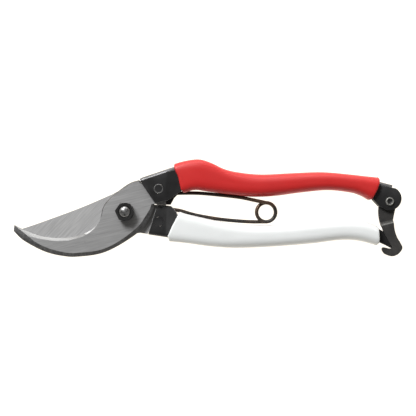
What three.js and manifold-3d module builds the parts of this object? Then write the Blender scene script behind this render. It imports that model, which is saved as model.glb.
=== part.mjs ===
// Bypass pruning shears: two forged blades on one pivot bolt, each riveted into a
// folded steel handle channel with a soft grip, a torsion spring that pushes the
// handles apart, and a swinging hook that holds them closed.
// Millimetres, +Z up. The shears lie flat and closed on z = 0. The pivot axis is Z,
// the jaws point to -X and the handles to +X, with the red handle on the +Y side.

import * as THREE from 'three';
import { mergeVertices } from 'three/addons/utils/BufferGeometryUtils.js';
import Module from 'manifold-3d';

const wasm = await Module();
wasm.setup();

// ---- Driving dimensions ----------------------------------------------------

const JAW_LENGTH = 57.4; // pivot axis to the jaw tips
const GRIP_LENGTH = 105.9; // both grips, measured along X
const GRIP_THICKNESS = 14.3; // across the grips, and the height of the lying tool
const GRIP_BACK_WALL = 1.6;
const GRIP_INNER_WALL = 1.5;
const GRIP_EDGE_RADIUS = 3.6;

const BLADE_THICKNESS = 4.0;
const BLADE_GAP = 0.3; // between the two sliding blades
const FIT_GAP = 0.3; // between pieces that touch
const HOOK_CHAMFER_DEPTH = 1.3;
const CUTTING_EDGE_LAND = 0.4;

const BOLT_HEAD_RADIUS = 6.2;
const BOLT_HEAD_HEIGHT = 2.7;
const BOLT_SHOULDER_RADIUS = 4.0;
const BOLT_THREAD_RADIUS = 2.55;
const BOLT_END_HEIGHT = 1.3; // domed end above the nut
const WASHER_RADIUS = 4.6;
const WASHER_THICKNESS = 0.8;
const NUT_CORNER_RADIUS = 5.0;
const NUT_HEIGHT = 4.5;
const NUT_TURN = 55; // degrees, first corner from +X

const CHANNEL_WALL = 1.6;
const CHANNEL_FOLD_RADIUS = 1.8;
const RIVET_RADIUS = 2.25;
const RIVET_PROUD = 0.2;

const EAR_RADIUS = 6.0;
const EAR_WALL = 1.8;
const CATCH_THICKNESS = 2.5;
const CATCH_EYE_RADIUS = 3.9;
const CATCH_RIVET_RADIUS = 1.4;
const CATCH_RIVET_HEAD_RADIUS = 2.2;
const CATCH_RIVET_HEAD_HEIGHT = 0.7;
const TANG_THICKNESS = 4.0;
const CATCH_CLEARANCE = 0.5; // hook plate above the tang that it passes over

const WIRE_RADIUS = 1.0;
const COIL_RADIUS = 4.9; // wire centre line
const COIL_PITCH = 2.3;
const COIL_TURNS = 1.5;
const COIL_X = 72.6; // coil centre at the drawn grip length
const COIL_Y = -0.3;

// Outlines are drawn at these lengths and follow the driving ones.
const DRAWN_JAW_LENGTH = 57.4;
const DRAWN_GRIP_LENGTH = 105.9;
const STRETCH_FROM_X = 31;
const STRETCH_TO_X = 121;

// Mesh fineness.
const EDGE_STEPS = 22;
const GRIP_STEPS = 22;
const ROUND_STEPS = 32;
const CORNER_STEPS = 4;

// ---- Levels along Z ----------------------------------------------------------

const CUTTING_BOTTOM = BOLT_HEAD_HEIGHT + FIT_GAP;
const CUTTING_TOP = CUTTING_BOTTOM + BLADE_THICKNESS;
const COUNTER_BOTTOM = CUTTING_TOP + BLADE_GAP;
const COUNTER_TOP = COUNTER_BOTTOM + BLADE_THICKNESS;
const WASHER_BOTTOM = COUNTER_TOP + FIT_GAP;
const NUT_BOTTOM = WASHER_BOTTOM + WASHER_THICKNESS + FIT_GAP;
const NUT_TOP = NUT_BOTTOM + NUT_HEIGHT;
const GRIP_MIDDLE = GRIP_THICKNESS / 2;
const COUNTER_MIDDLE = COUNTER_BOTTOM + BLADE_THICKNESS / 2;
const CUTTING_MIDDLE = CUTTING_BOTTOM + BLADE_THICKNESS / 2;
const CHANNEL_INNER_WIDTH = BLADE_THICKNESS + 2 * FIT_GAP;
const CHANNEL_WIDTH = CHANNEL_INNER_WIDTH + 2 * CHANNEL_WALL;

// ---- Drawing helpers ---------------------------------------------------------

const at = (x, y) => new THREE.Vector2(x, y);

/** A point of the jaws: its distance ahead of the pivot follows the jaw length. */
const jaw = (x, y) => at((x * JAW_LENGTH) / DRAWN_JAW_LENGTH, y);

/** A place along the grips: their two ends keep their slant, and the middle stretches. */
function along(x) {
  const share = THREE.MathUtils.clamp((x - STRETCH_FROM_X) / (STRETCH_TO_X - STRETCH_FROM_X), 0, 1);
  return x + (GRIP_LENGTH - DRAWN_GRIP_LENGTH) * share;
}

/** A point of the handles' rear end, which moves as a whole with the grips' length. */
const rear = (x, y) => at(x + GRIP_LENGTH - DRAWN_GRIP_LENGTH, y);

/** Points spaced along a smooth curve through the given points. */
function smooth(points, steps = EDGE_STEPS) {
  return new THREE.SplineCurve(points).getSpacedPoints(steps);
}

/** Points spaced along a circular arc, in degrees from +X. */
function arc(centre, radius, from, to, steps = EDGE_STEPS) {
  const points = [];
  for (let i = 0; i <= steps; i++) {
    const angle = THREE.MathUtils.degToRad(THREE.MathUtils.lerp(from, to, i / steps));
    points.push(at(centre.x + radius * Math.cos(angle), centre.y + radius * Math.sin(angle)));
  }
  return points;
}

/** Height at x of the smooth line through points that are listed by rising x. */
function heightAt(points, x) {
  let i = 0;
  while (i < points.length - 2 && x > points[i + 1].x) i++;
  const [a, b] = [points[i], points[i + 1]];
  const before = points[Math.max(i - 1, 0)];
  const after = points[Math.min(i + 2, points.length - 1)];
  const span = b.x - a.x;
  const slopeA = (b.y - before.y) / (b.x - before.x);
  const slopeB = (after.y - a.y) / (after.x - a.x);
  const t = THREE.MathUtils.clamp((x - a.x) / span, 0, 1);
  const [t2, t3] = [t * t, t * t * t];
  return (
    (2 * t3 - 3 * t2 + 1) * a.y +
    (t3 - 2 * t2 + t) * span * slopeA +
    (3 * t2 - 2 * t3) * b.y +
    (t3 - t2) * span * slopeB
  );
}

// ---- Solid helpers -----------------------------------------------------------

/** A geometry from corner positions and triangles, with its faces turned outwards. */
function closedGeometry(positions, triangles) {
  let volume = 0;
  const corners = positions.map((p) => new THREE.Vector3(...p));
  for (const [a, b, c] of triangles) {
    volume += corners[a].dot(corners[b].clone().cross(corners[c]));
  }
  const turned = volume < 0 ? triangles.map(([a, b, c]) => [a, c, b]) : triangles;
  const geometry = new THREE.BufferGeometry();
  geometry.setAttribute('position', new THREE.Float32BufferAttribute(positions.flat(), 3));
  geometry.setIndex(turned.flat());
  return geometry;
}

/** Triangles of two neighbouring rings of corners, each ring `count` long. */
function band(first, second, count) {
  const triangles = [];
  for (let i = 0; i < count; i++) {
    const j = (i + 1) % count;
    triangles.push([first + i, first + j, second + j], [first + i, second + j, second + i]);
  }
  return triangles;
}

/** Triangles that fill a flat outline, all turned the same way round. */
function fill(outline, offset, flip) {
  const area = (a, b, c) => (b.x - a.x) * (c.y - a.y) - (b.y - a.y) * (c.x - a.x);
  return THREE.ShapeUtils.triangulateShape(outline, []).map(([a, b, c]) => {
    const left = area(outline[a], outline[b], outline[c]) > 0;
    return (left !== flip ? [a, b, c] : [a, c, b]).map((k) => k + offset);
  });
}

/** A solid through matching rings: each has flat points and a place() into space. */
function skin(rings) {
  const count = rings[0].flat.length;
  const positions = rings.flatMap((ring) => ring.flat.map((p) => ring.place(p)));
  const last = (rings.length - 1) * count;
  const triangles = [
    ...fill(rings[0].flat, 0, true),
    ...fill(rings[rings.length - 1].flat, last, false),
  ];
  for (let r = 0; r + 1 < rings.length; r++) {
    triangles.push(...band(r * count, (r + 1) * count, count));
  }
  return closedGeometry(positions, triangles);
}

/** A sleeve between outer and inner rings, open at both ends. */
function sleeve(outer, inner) {
  const count = outer[0].flat.length;
  const positions = [...outer, ...inner].flatMap((ring) => ring.flat.map((p) => ring.place(p)));
  const offset = outer.length * count;
  const last = (outer.length - 1) * count;
  const triangles = [...band(offset, 0, count), ...band(last, offset + last, count)];
  for (let r = 0; r + 1 < outer.length; r++) {
    triangles.push(...band(r * count, (r + 1) * count, count));
    triangles.push(...band(offset + (r + 1) * count, offset + r * count, count));
  }
  return closedGeometry(positions, triangles);
}

/** A plate built up from outlines at rising levels. */
function plate(...levels) {
  return skin(levels.map(([z, flat]) => ({ flat, place: (p) => [p.x, p.y, z] })));
}

/** A plate with straight sides between two levels. */
const slab = (outline, low, high) => plate([low, outline], [high, outline]);

/** An upright round bar or, with few sides, a prism. */
function bar(centre, radius, low, high, sides = ROUND_STEPS, turn = 0) {
  const around = arc(centre, radius, turn, turn + 360, sides).slice(0, -1);
  return slab(around, low, high);
}

/** A body turned about an upright axis, from its [radius, z] profile. */
function turned(profile, centre = at(0, 0)) {
  const lathe = new THREE.LatheGeometry(profile.map(([r, z]) => at(r, z)), ROUND_STEPS);
  return lathe.rotateX(Math.PI / 2).translate(centre.x, centre.y, 0);
}

/** The solid of a closed geometry, for joining and cutting. */
function solid(geometry) {
  const bare = geometry.clone();
  bare.deleteAttribute('normal');
  bare.deleteAttribute('uv');
  const merged = mergeVertices(bare, 1e-4);
  return new wasm.Manifold(
    new wasm.Mesh({
      numProp: 3,
      vertProperties: new Float32Array(merged.attributes.position.array),
      triVerts: new Uint32Array(merged.index.array),
    }),
  );
}

/** A geometry back from a joined or cut solid. */
function geometryOf(body) {
  const mesh = body.getMesh();
  const geometry = new THREE.BufferGeometry();
  geometry.setAttribute('position', new THREE.BufferAttribute(mesh.vertProperties, 3));
  geometry.setIndex(new THREE.BufferAttribute(mesh.triVerts, 1));
  return geometry;
}

/** `base` joined with some geometries, then cut by others. */
function worked(base, joins, cuts) {
  let body = solid(base);
  for (const join of joins) body = body.add(solid(join));
  for (const cut of cuts) body = body.subtract(solid(cut));
  return geometryOf(body);
}

// ---- Blades ------------------------------------------------------------------

const PIVOT = at(0, 0);
const RED_RIVET = at(17.2, 11.8);
const WHITE_RIVET = at(17.0, -5.2);
const BELOW = -5; // cutters start under the tool
const ABOVE = GRIP_THICKNESS + 15; // and end over it

const rivetHole = (centre) => bar(centre, RIVET_RADIUS + FIT_GAP, BELOW, ABOVE);
const pivotHole = () => bar(PIVOT, BOLT_SHOULDER_RADIUS + FIT_GAP, BELOW, ABOVE);

// The counter blade's shank, inside the red channel.
const redShank = (edge) => [
  at(15.0 - edge, 3.9 + edge / 2),
  at(21.0, 3.9 + edge / 2),
  at(20.3, 18.7),
  at(8.2, 14.7),
];

/** The hook-shaped counter blade, with its forged outer chamfer and ground inner edge. */
function counterBlade() {
  const full = [
    jaw(-57.0, -7.4),
    ...smooth([
      jaw(-57.4, -9.9),
      jaw(-54.0, -13.6),
      jaw(-48.7, -17.3),
      jaw(-38.7, -21.4),
      jaw(-25.3, -23.2),
      jaw(-13.0, -21.6),
      jaw(-2.7, -17.0),
      at(8.1, -9.4),
      at(12.7, -2.7),
      at(14.5, 0.9),
    ]),
    ...redShank(0),
    ...smooth([at(7.1, 16.3), at(2.5, 14.8), jaw(-2.7, 11.3), jaw(-7.8, 7.2), jaw(-11.2, 2.9), jaw(-12.5, -1.7)]),
    ...smooth([
      jaw(-13.0, -4.3),
      jaw(-15.5, -7.6),
      jaw(-18.9, -10.2),
      jaw(-23.2, -12.1),
      jaw(-33.5, -13.5),
      jaw(-43.8, -12.5),
      jaw(-54.1, -9.3),
    ]),
  ];
  const ground = [
    jaw(-53.9, -10.3),
    ...smooth([
      jaw(-53.7, -10.9),
      jaw(-48.9, -13.9),
      jaw(-43.8, -17.0),
      jaw(-33.5, -20.7),
      jaw(-25.8, -21.7),
      jaw(-13.0, -20.1),
      jaw(-2.7, -15.6),
      at(7.6, -6.8),
      at(12.4, 0.6),
    ]),
    ...redShank(0.5),
    ...smooth([at(6.9, 15.5), at(2.8, 14.0), jaw(-2.3, 10.6), jaw(-7.2, 6.6), jaw(-10.5, 2.5), jaw(-11.9, -1.8)]),
    ...smooth([
      jaw(-13.5, -5.3),
      jaw(-15.9, -9.3),
      jaw(-19.3, -11.6),
      jaw(-24.2, -13.7),
      jaw(-33.5, -15.1),
      jaw(-43.0, -14.2),
      jaw(-52.3, -11.3),
    ]),
  ];
  const body = plate(
    [COUNTER_BOTTOM, full],
    [COUNTER_TOP - HOOK_CHAMFER_DEPTH, full],
    [COUNTER_TOP, ground],
  );
  return worked(body, [], [pivotHole(), rivetHole(RED_RIVET)]);
}

// The cutting blade's shank, inside the white channel.
const WHITE_SHANK = [at(7.6, -10.9), at(11.3, -11.5), at(12.2, -9.6), at(19.8, -10.9), at(20.9, 2.4), at(14.9, 1.6)];
const CUTTING_HEEL_RADIUS = 11.2;

/** The cutting blade, flat where it slides and hollowed to its edge on the far side. */
function cuttingBlade() {
  const heel = arc(PIVOT, CUTTING_HEEL_RADIUS, 12, 120);
  const spine = smooth([jaw(-7.8, 8.6), jaw(-23.2, 2.0), jaw(-43.8, -5.6), jaw(-53.6, -8.9)]);
  const edge = smooth([
    jaw(-54.6, -9.9),
    jaw(-48.9, -13.0),
    jaw(-40.0, -15.6),
    jaw(-30.0, -17.2),
    jaw(-20.0, -17.2),
    jaw(-10.0, -15.2),
    jaw(-2.0, -12.6),
    at(5.3, -11.3),
  ]);
  const bevelStart = smooth([
    jaw(-54.0, -9.4),
    jaw(-48.5, -9.4),
    jaw(-40.0, -9.6),
    jaw(-30.0, -9.9),
    jaw(-20.0, -10.2),
    jaw(-11.0, -10.8),
    jaw(-3.0, -11.8),
    at(5.2, -11.2),
  ]);
  const rest = [...WHITE_SHANK, ...heel, ...spine];
  const body = plate(
    [CUTTING_BOTTOM, [...bevelStart, ...rest]],
    [CUTTING_TOP - CUTTING_EDGE_LAND, [...edge, ...rest]],
    [CUTTING_TOP, [...edge, ...rest]],
  );
  return worked(body, [], [pivotHole(), rivetHole(WHITE_RIVET)]);
}

// ---- Pivot ---------------------------------------------------------------------

/** The pivot bolt: a flat round head, a shoulder for the blades and a threaded end. */
function pivotBolt() {
  const edge = 0.5;
  const end = NUT_TOP + BOLT_END_HEIGHT;
  return turned([
    [0, 0],
    [BOLT_HEAD_RADIUS - edge, 0],
    [BOLT_HEAD_RADIUS, edge],
    [BOLT_HEAD_RADIUS, BOLT_HEAD_HEIGHT],
    [BOLT_SHOULDER_RADIUS, BOLT_HEAD_HEIGHT],
    [BOLT_SHOULDER_RADIUS, COUNTER_TOP],
    [BOLT_THREAD_RADIUS, COUNTER_TOP],
    [BOLT_THREAD_RADIUS, NUT_TOP],
    [BOLT_THREAD_RADIUS * 0.8, NUT_TOP + BOLT_END_HEIGHT * 0.65],
    [BOLT_THREAD_RADIUS * 0.4, end - BOLT_END_HEIGHT * 0.08],
    [0, end],
  ]);
}

/** The washer under the nut. */
function pivotWasher() {
  const hole = bar(PIVOT, BOLT_THREAD_RADIUS + FIT_GAP, BELOW, ABOVE);
  return worked(bar(PIVOT, WASHER_RADIUS, WASHER_BOTTOM, WASHER_BOTTOM + WASHER_THICKNESS), [], [hole]);
}

/** The hexagonal nut, with its corners turned off at the top. */
function pivotNut() {
  const across = NUT_CORNER_RADIUS * Math.cos(Math.PI / 6);
  const chamfer = NUT_CORNER_RADIUS - across;
  const cone = turned([
    [0, NUT_BOTTOM - chamfer],
    [NUT_CORNER_RADIUS + chamfer, NUT_BOTTOM - chamfer],
    [NUT_CORNER_RADIUS + chamfer, NUT_TOP - 2 * chamfer],
    [across - chamfer / 2, NUT_TOP + chamfer],
    [0, NUT_TOP + chamfer],
  ]);
  const prism = bar(PIVOT, NUT_CORNER_RADIUS, NUT_BOTTOM, NUT_TOP, 6, NUT_TURN);
  const hole = bar(PIVOT, BOLT_THREAD_RADIUS + FIT_GAP, BELOW, ABOVE);
  return geometryOf(solid(prism).intersect(solid(cone)).subtract(solid(hole)));
}

// ---- Grip outlines ---------------------------------------------------------------

const RED_GRIP = {
  back: [
    at(25.1, 24.6),
    at(31.0, 26.2),
    at(37.9, 27.0),
    at(44.0, 25.3),
    at(51.3, 21.9),
    at(59.0, 20.2),
    at(70.3, 19.2),
    at(86.0, 19.9),
    at(101.2, 20.4),
    at(116.0, 19.2),
    at(131.0, 17.4),
  ],
  inner: [
    at(30.0, 9.6),
    at(35.9, 11.2),
    at(43.0, 10.3),
    at(59.0, 8.2),
    at(67.5, 7.6),
    at(78.0, 8.2),
    at(89.8, 9.8),
    at(104.0, 11.1),
    at(115.5, 10.0),
    at(121.0, 8.4),
    at(125.3, 6.0),
  ],
};

const WHITE_GRIP = {
  back: [
    at(22.0, -15.1),
    at(30.7, -16.1),
    at(44.0, -17.9),
    at(57.0, -18.7),
    at(74.4, -18.1),
    at(95.0, -16.5),
    at(105.3, -15.2),
    at(113.0, -14.5),
    at(120.7, -15.1),
    at(130.0, -17.4),
  ],
  inner: [
    at(27.6, 0.2),
    at(33.3, -1.6),
    at(48.7, -5.0),
    at(59.0, -6.4),
    at(69.3, -6.9),
    at(84.0, -6.4),
    at(100.1, -5.0),
    at(113.0, -4.2),
    at(123.0, -4.8),
    at(130.3, -7.2),
  ],
};

/** The point of a grip's edge line a fraction of the way along it. */
function edgePoint(line, fraction) {
  const x = THREE.MathUtils.lerp(line[0].x, line[line.length - 1].x, fraction);
  return at(along(x), heightAt(line, x));
}

/** Slanting cross-section places of a grip, drawn in from both edges. */
function gripStations(grip, backInset, innerInset) {
  const stations = [];
  for (let i = 0; i <= GRIP_STEPS; i++) {
    const back = edgePoint(grip.back, i / GRIP_STEPS);
    const inner = edgePoint(grip.inner, i / GRIP_STEPS);
    const across = back.clone().sub(inner).normalize();
    stations.push({
      back: back.clone().addScaledVector(across, -backInset),
      inner: inner.clone().addScaledVector(across, innerInset),
      middle: GRIP_MIDDLE,
    });
  }
  return stations;
}

/** A ring for skin(): a section whose first axis runs from the inner edge to the back. */
function ringAt(station, section) {
  const across = station.back.clone().sub(station.inner);
  const height = across.length();
  across.normalize();
  return {
    flat: section(height),
    place: (p) => [
      station.inner.x + across.x * p.x,
      station.inner.y + across.y * p.x,
      station.middle + p.y,
    ],
  };
}

/** A rectangle from 0 to `height`, with its corners rounded at the back and inner edges. */
function roundedSection(height, width, backRadius, innerRadius) {
  const half = width / 2;
  return [
    ...arc(at(height - backRadius, half - backRadius), backRadius, 0, 90, CORNER_STEPS),
    ...arc(at(innerRadius, half - innerRadius), innerRadius, 90, 180, CORNER_STEPS),
    ...arc(at(innerRadius, innerRadius - half), innerRadius, 180, 270, CORNER_STEPS),
    ...arc(at(height - backRadius, backRadius - half), backRadius, 270, 360, CORNER_STEPS),
  ];
}

/** A channel's section: folded round at the back and open at the inner edge. */
function channelSection(height) {
  const half = CHANNEL_WIDTH / 2;
  const fold = CHANNEL_FOLD_RADIUS;
  const hollow = half - CHANNEL_WALL;
  return [
    ...arc(at(height - fold, half - fold), fold, 0, 90, CORNER_STEPS),
    at(0, half),
    at(0, hollow),
    at(height - CHANNEL_WALL, hollow),
    at(height - CHANNEL_WALL, -hollow),
    at(0, -hollow),
    at(0, -half),
    ...arc(at(height - fold, fold - half), fold, 270, 360, CORNER_STEPS),
  ];
}

/** A grip: a moulded sleeve round its channel, grooved where the spring lies along it. */
function grip(outline) {
  const outer = gripStations(outline, 0, 0).map((station) =>
    ringAt(station, (height) =>
      roundedSection(height, GRIP_THICKNESS, GRIP_EDGE_RADIUS, GRIP_EDGE_RADIUS),
    ),
  );
  const cavityWidth = CHANNEL_WIDTH + 2 * FIT_GAP;
  const inner = gripStations(outline, GRIP_BACK_WALL, GRIP_INNER_WALL).map((station) =>
    ringAt(station, (height) =>
      roundedSection(height, cavityWidth, CHANNEL_FOLD_RADIUS + FIT_GAP, FIT_GAP / 2),
    ),
  );
  return worked(sleeve(outer, inner), [], [springTube(WIRE_RADIUS + FIT_GAP)]);
}

// ---- Handle channels -------------------------------------------------------------

/** Stations of an exposed stretch: [back, inner, share of the crank to the blade]. */
function cranked(rows, bladeMiddle) {
  return rows.map(([back, inner, share]) => ({
    back,
    inner,
    middle: THREE.MathUtils.lerp(GRIP_MIDDLE, bladeMiddle, share),
  }));
}

const channelRings = (stations) => stations.map((station) => ringAt(station, channelSection));

/** Stations inside a grip, its walls and the fit gap in from its edges. */
function channelInGrip(outline) {
  return gripStations(outline, GRIP_BACK_WALL + FIT_GAP, GRIP_INNER_WALL + FIT_GAP);
}

const CATCH_PIVOT = rear(136.0, 5.3);
const EAR_CENTRE = rear(136.1, 6.8);
const EAR_OUTLINE = [
  rear(127.4, 6.2),
  rear(130.5, 2.9),
  ...arc(EAR_CENTRE, EAR_RADIUS, -118, 70, EDGE_STEPS),
  rear(131.3, 15.0),
];

/** The red handle's channel, which ends in a fork of two round ears for the catch. */
function redHandle() {
  const front = cranked(
    [
      [at(7.6, 17.2), at(14.8, 4.4), 1],
      [at(9.2, 17.75), at(15.3, 3.6), 1],
      [at(20.7, 21.6), at(21.5, 3.6), 1],
      [at(22.4, 22.2), at(23.3, 3.6), 0.65],
      [at(23.8, 22.65), at(25.1, 7.0), 0.25],
      [at(24.9, 22.95), at(27.1, 9.0), 0],
    ],
    COUNTER_MIDDLE,
  );
  const inside = channelInGrip(RED_GRIP).slice(0, -2);
  const end = cranked(
    [
      [rear(126.6, 15.9), rear(123.6, 9.4), 0],
      [rear(131.4, 15.3), rear(129.4, 8.4), 0],
      [rear(137.6, 13.7), rear(136.3, 9.4), 0],
    ],
    GRIP_MIDDLE,
  );
  const wallMiddle = (CHANNEL_WIDTH - CHANNEL_WALL) / 2;
  const ears = [-1, 1].map((side) => {
    const middle = GRIP_MIDDLE + side * wallMiddle;
    return slab(EAR_OUTLINE, middle - EAR_WALL / 2, middle + EAR_WALL / 2);
  });
  const pinHole = bar(CATCH_PIVOT, CATCH_RIVET_RADIUS + FIT_GAP, BELOW, ABOVE);
  const body = skin(channelRings([...front, ...inside, ...end]));
  return worked(body, ears, [rivetHole(RED_RIVET), pinHole]);
}

/** The white handle's channel, which ends in the tang that the catch hooks behind. */
function whiteHandle() {
  const front = cranked(
    [
      [at(11.7, -11.7), at(15.9, 2.0), 1],
      [at(12.6, -11.9), at(16.6, 2.9), 1],
      [at(20.0, -13.05), at(21.4, 3.2), 1],
      [at(21.0, -13.2), at(23.6, 2.9), 0.6],
      [at(21.8, -13.35), at(25.6, 1.0), 0.1],
    ],
    CUTTING_MIDDLE,
  );
  const inside = channelInGrip(WHITE_GRIP);
  const tang = slab(
    [
      rear(116.0, -11.9),
      rear(123.0, -12.9),
      rear(129.9, -14.9),
      rear(130.9, -15.8),
      rear(134.6, -17.5),
      rear(136.3, -18.5),
      rear(134.6, -14.2),
      rear(132.3, -10.4),
      rear(130.4, -9.3),
      rear(129.0, -9.5),
      rear(120.0, -8.5),
    ],
    GRIP_MIDDLE - TANG_THICKNESS / 2,
    GRIP_MIDDLE + TANG_THICKNESS / 2,
  );
  const body = skin(channelRings([...front, ...inside]));
  return worked(body, [tang], [rivetHole(WHITE_RIVET)]);
}

/** A flush rivet through a channel's two walls and the shank between them. */
function handleRivet(centre, middle) {
  const reach = CHANNEL_WIDTH / 2 + RIVET_PROUD;
  const edge = 0.3;
  return turned(
    [
      [0, middle - reach],
      [RIVET_RADIUS - edge, middle - reach],
      [RIVET_RADIUS, middle - reach + edge],
      [RIVET_RADIUS, middle + reach - edge],
      [RIVET_RADIUS - edge, middle + reach],
      [0, middle + reach],
    ],
    centre,
  );
}

// ---- Catch -------------------------------------------------------------------------

const HOOK_MIDDLE = GRIP_MIDDLE + TANG_THICKNESS / 2 + CATCH_CLEARANCE + CATCH_THICKNESS / 2;

/** A flat bar section for the catch's neck. */
function strapSection(height) {
  const half = CATCH_THICKNESS / 2;
  return [at(0, -half), at(height, -half), at(height, half), at(0, half)];
}

/** The catch: an eye in the fork, a neck that is bent up and the hook below it. */
function catchHook() {
  const neck = [
    [rear(139.8, 4.6), rear(130.7, 4.0), 0],
    [rear(139.3, 1.9), rear(130.5, 0.6), 0],
    [rear(138.2, -5.6), rear(131.6, -7.2), 0],
    [rear(138.1, -7.1), rear(132.2, -8.7), 1],
    [rear(139.0, -11.6), rear(134.2, -11.8), 1],
    [rear(140.7, -15.1), rear(136.3, -15.8), 1],
  ].map(([back, inner, share]) => ({
    back,
    inner,
    middle: THREE.MathUtils.lerp(GRIP_MIDDLE, HOOK_MIDDLE, share),
  }));
  const eye = bar(
    CATCH_PIVOT,
    CATCH_EYE_RADIUS,
    GRIP_MIDDLE - CATCH_THICKNESS / 2,
    GRIP_MIDDLE + CATCH_THICKNESS / 2,
  );
  const hook = slab(
    [
      ...smooth([rear(136.3, -15.8), rear(137.2, -17.4), rear(136.8, -18.8), rear(134.9, -18.4), rear(131.6, -18.9)]),
      ...smooth([
        rear(131.8, -20.0),
        rear(134.1, -22.2),
        rear(137.7, -22.8),
        rear(140.7, -21.6),
        rear(142.5, -18.9),
        rear(142.2, -17.2),
        rear(140.7, -15.1),
      ]),
    ],
    HOOK_MIDDLE - CATCH_THICKNESS / 2,
    HOOK_MIDDLE + CATCH_THICKNESS / 2,
  );
  const pinHole = bar(CATCH_PIVOT, CATCH_RIVET_RADIUS + FIT_GAP, BELOW, ABOVE);
  const rings = neck.map((station) => ringAt(station, strapSection));
  return worked(skin(rings), [eye, hook], [pinHole]);
}

/** The catch's rivet, headed outside both ears. */
function catchRivet() {
  const low = GRIP_MIDDLE - (CHANNEL_WIDTH - CHANNEL_WALL + EAR_WALL) / 2 - FIT_GAP;
  const high = 2 * GRIP_MIDDLE - low;
  return turned(
    [
      [0, low - CATCH_RIVET_HEAD_HEIGHT],
      [CATCH_RIVET_HEAD_RADIUS, low - CATCH_RIVET_HEAD_HEIGHT],
      [CATCH_RIVET_HEAD_RADIUS, low],
      [CATCH_RIVET_RADIUS, low],
      [CATCH_RIVET_RADIUS, high],
      [CATCH_RIVET_HEAD_RADIUS, high],
      [CATCH_RIVET_HEAD_RADIUS, high + CATCH_RIVET_HEAD_HEIGHT],
      [0, high + CATCH_RIVET_HEAD_HEIGHT],
    ],
    CATCH_PIVOT,
  );
}

// ---- Spring ------------------------------------------------------------------------

/** A leg's route beside its grip, sloping from its anchor's level to the coil's. */
function springLeg(points, coilLevel) {
  const start = points[0].x;
  const reach = along(COIL_X) - start;
  return points.map((p) => {
    const share = THREE.MathUtils.smoothstep((along(p.x) - start) / reach, 0, 1);
    return new THREE.Vector3(along(p.x), p.y, GRIP_MIDDLE + coilLevel * share);
  });
}

/** A tube along the torsion spring's wire: one long leg, the coil and the other leg. */
function springTube(radius) {
  const rise = (COIL_PITCH * COIL_TURNS) / 2;
  const upper = springLeg(
    [at(24.0, 9.4), at(30.2, 9.6), at(38.4, 9.5), at(48.7, 8.6), at(59.0, 7.4), at(66.0, 6.0)],
    rise,
  );
  const lower = springLeg(
    [at(23.8, 1.2), at(28.2, 0.5), at(33.3, -1.0), at(38.4, -2.2), at(48.7, -3.9), at(59.0, -4.9), at(66.5, -5.25)],
    -rise,
  );
  const turns = [];
  const steps = Math.round(COIL_TURNS * 16);
  for (let i = 0; i <= steps; i++) {
    const angle = Math.PI / 2 - (i / steps) * COIL_TURNS * 2 * Math.PI;
    turns.push(
      new THREE.Vector3(
        along(COIL_X) + COIL_RADIUS * Math.cos(angle),
        COIL_Y + COIL_RADIUS * Math.sin(angle),
        GRIP_MIDDLE + rise - (i / steps) * 2 * rise,
      ),
    );
  }
  const path = new THREE.CatmullRomCurve3([...upper, ...turns, ...lower.reverse()], false, 'centripetal');
  const section = new THREE.Shape(arc(PIVOT, radius, 0, 360, 8).slice(0, -1));
  return new THREE.ExtrudeGeometry(section, { steps: 110, bevelEnabled: false, extrudePath: path });
}

// ---- Materials and assembly ----------------------------------------------------------

const material = (color, roughness, metalness) =>
  new THREE.MeshStandardMaterial({ color, roughness, metalness });

const groundSteel = material(0x8f9192, 0.42, 1.0);
const cuttingSteel = material(0xa9abac, 0.38, 1.0);
const blackSteel = material(0x2f2f2f, 0.45, 0.4);
const fastenerSteel = material(0x3a3a3b, 0.35, 0.8);
const springSteel = material(0x4a4038, 0.4, 0.9);
const redVinyl = material(0xc42d2b, 0.45, 0.0);
const whiteVinyl = material(0xecf0f2, 0.45, 0.0);

/** A named mesh of one piece. */
function piece(name, geometry, finish) {
  const mesh = new THREE.Mesh(geometry, finish);
  mesh.name = name;
  return mesh;
}

/** A group of pieces that move together. */
function assembly(...pieces) {
  const parts = new THREE.Group();
  parts.add(...pieces);
  return parts;
}

const redArm = assembly(
  piece('counter_blade', counterBlade(), groundSteel),
  piece('red_handle', redHandle(), blackSteel),
  piece('red_handle_rivet', handleRivet(RED_RIVET, COUNTER_MIDDLE), blackSteel),
  piece('red_grip', grip(RED_GRIP), redVinyl),
  piece('pivot_bolt', pivotBolt(), fastenerSteel),
  piece('pivot_washer', pivotWasher(), fastenerSteel),
  piece('pivot_nut', pivotNut(), fastenerSteel),
  piece('catch_rivet', catchRivet(), fastenerSteel),
);
const whiteArm = assembly(
  piece('cutting_blade', cuttingBlade(), cuttingSteel),
  piece('white_handle', whiteHandle(), blackSteel),
  piece('white_handle_rivet', handleRivet(WHITE_RIVET, CUTTING_MIDDLE), blackSteel),
  piece('white_grip', grip(WHITE_GRIP), whiteVinyl),
);
const catchPieces = assembly(piece('catch', catchHook(), blackSteel));
const springPieces = assembly(piece('spring', springTube(WIRE_RADIUS), springSteel));

const group = assembly(redArm, whiteArm, catchPieces, springPieces);

export default group;
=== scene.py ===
import logging
import math
from collections.abc import Callable, Sequence
from dataclasses import dataclass
from enum import Enum

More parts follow.
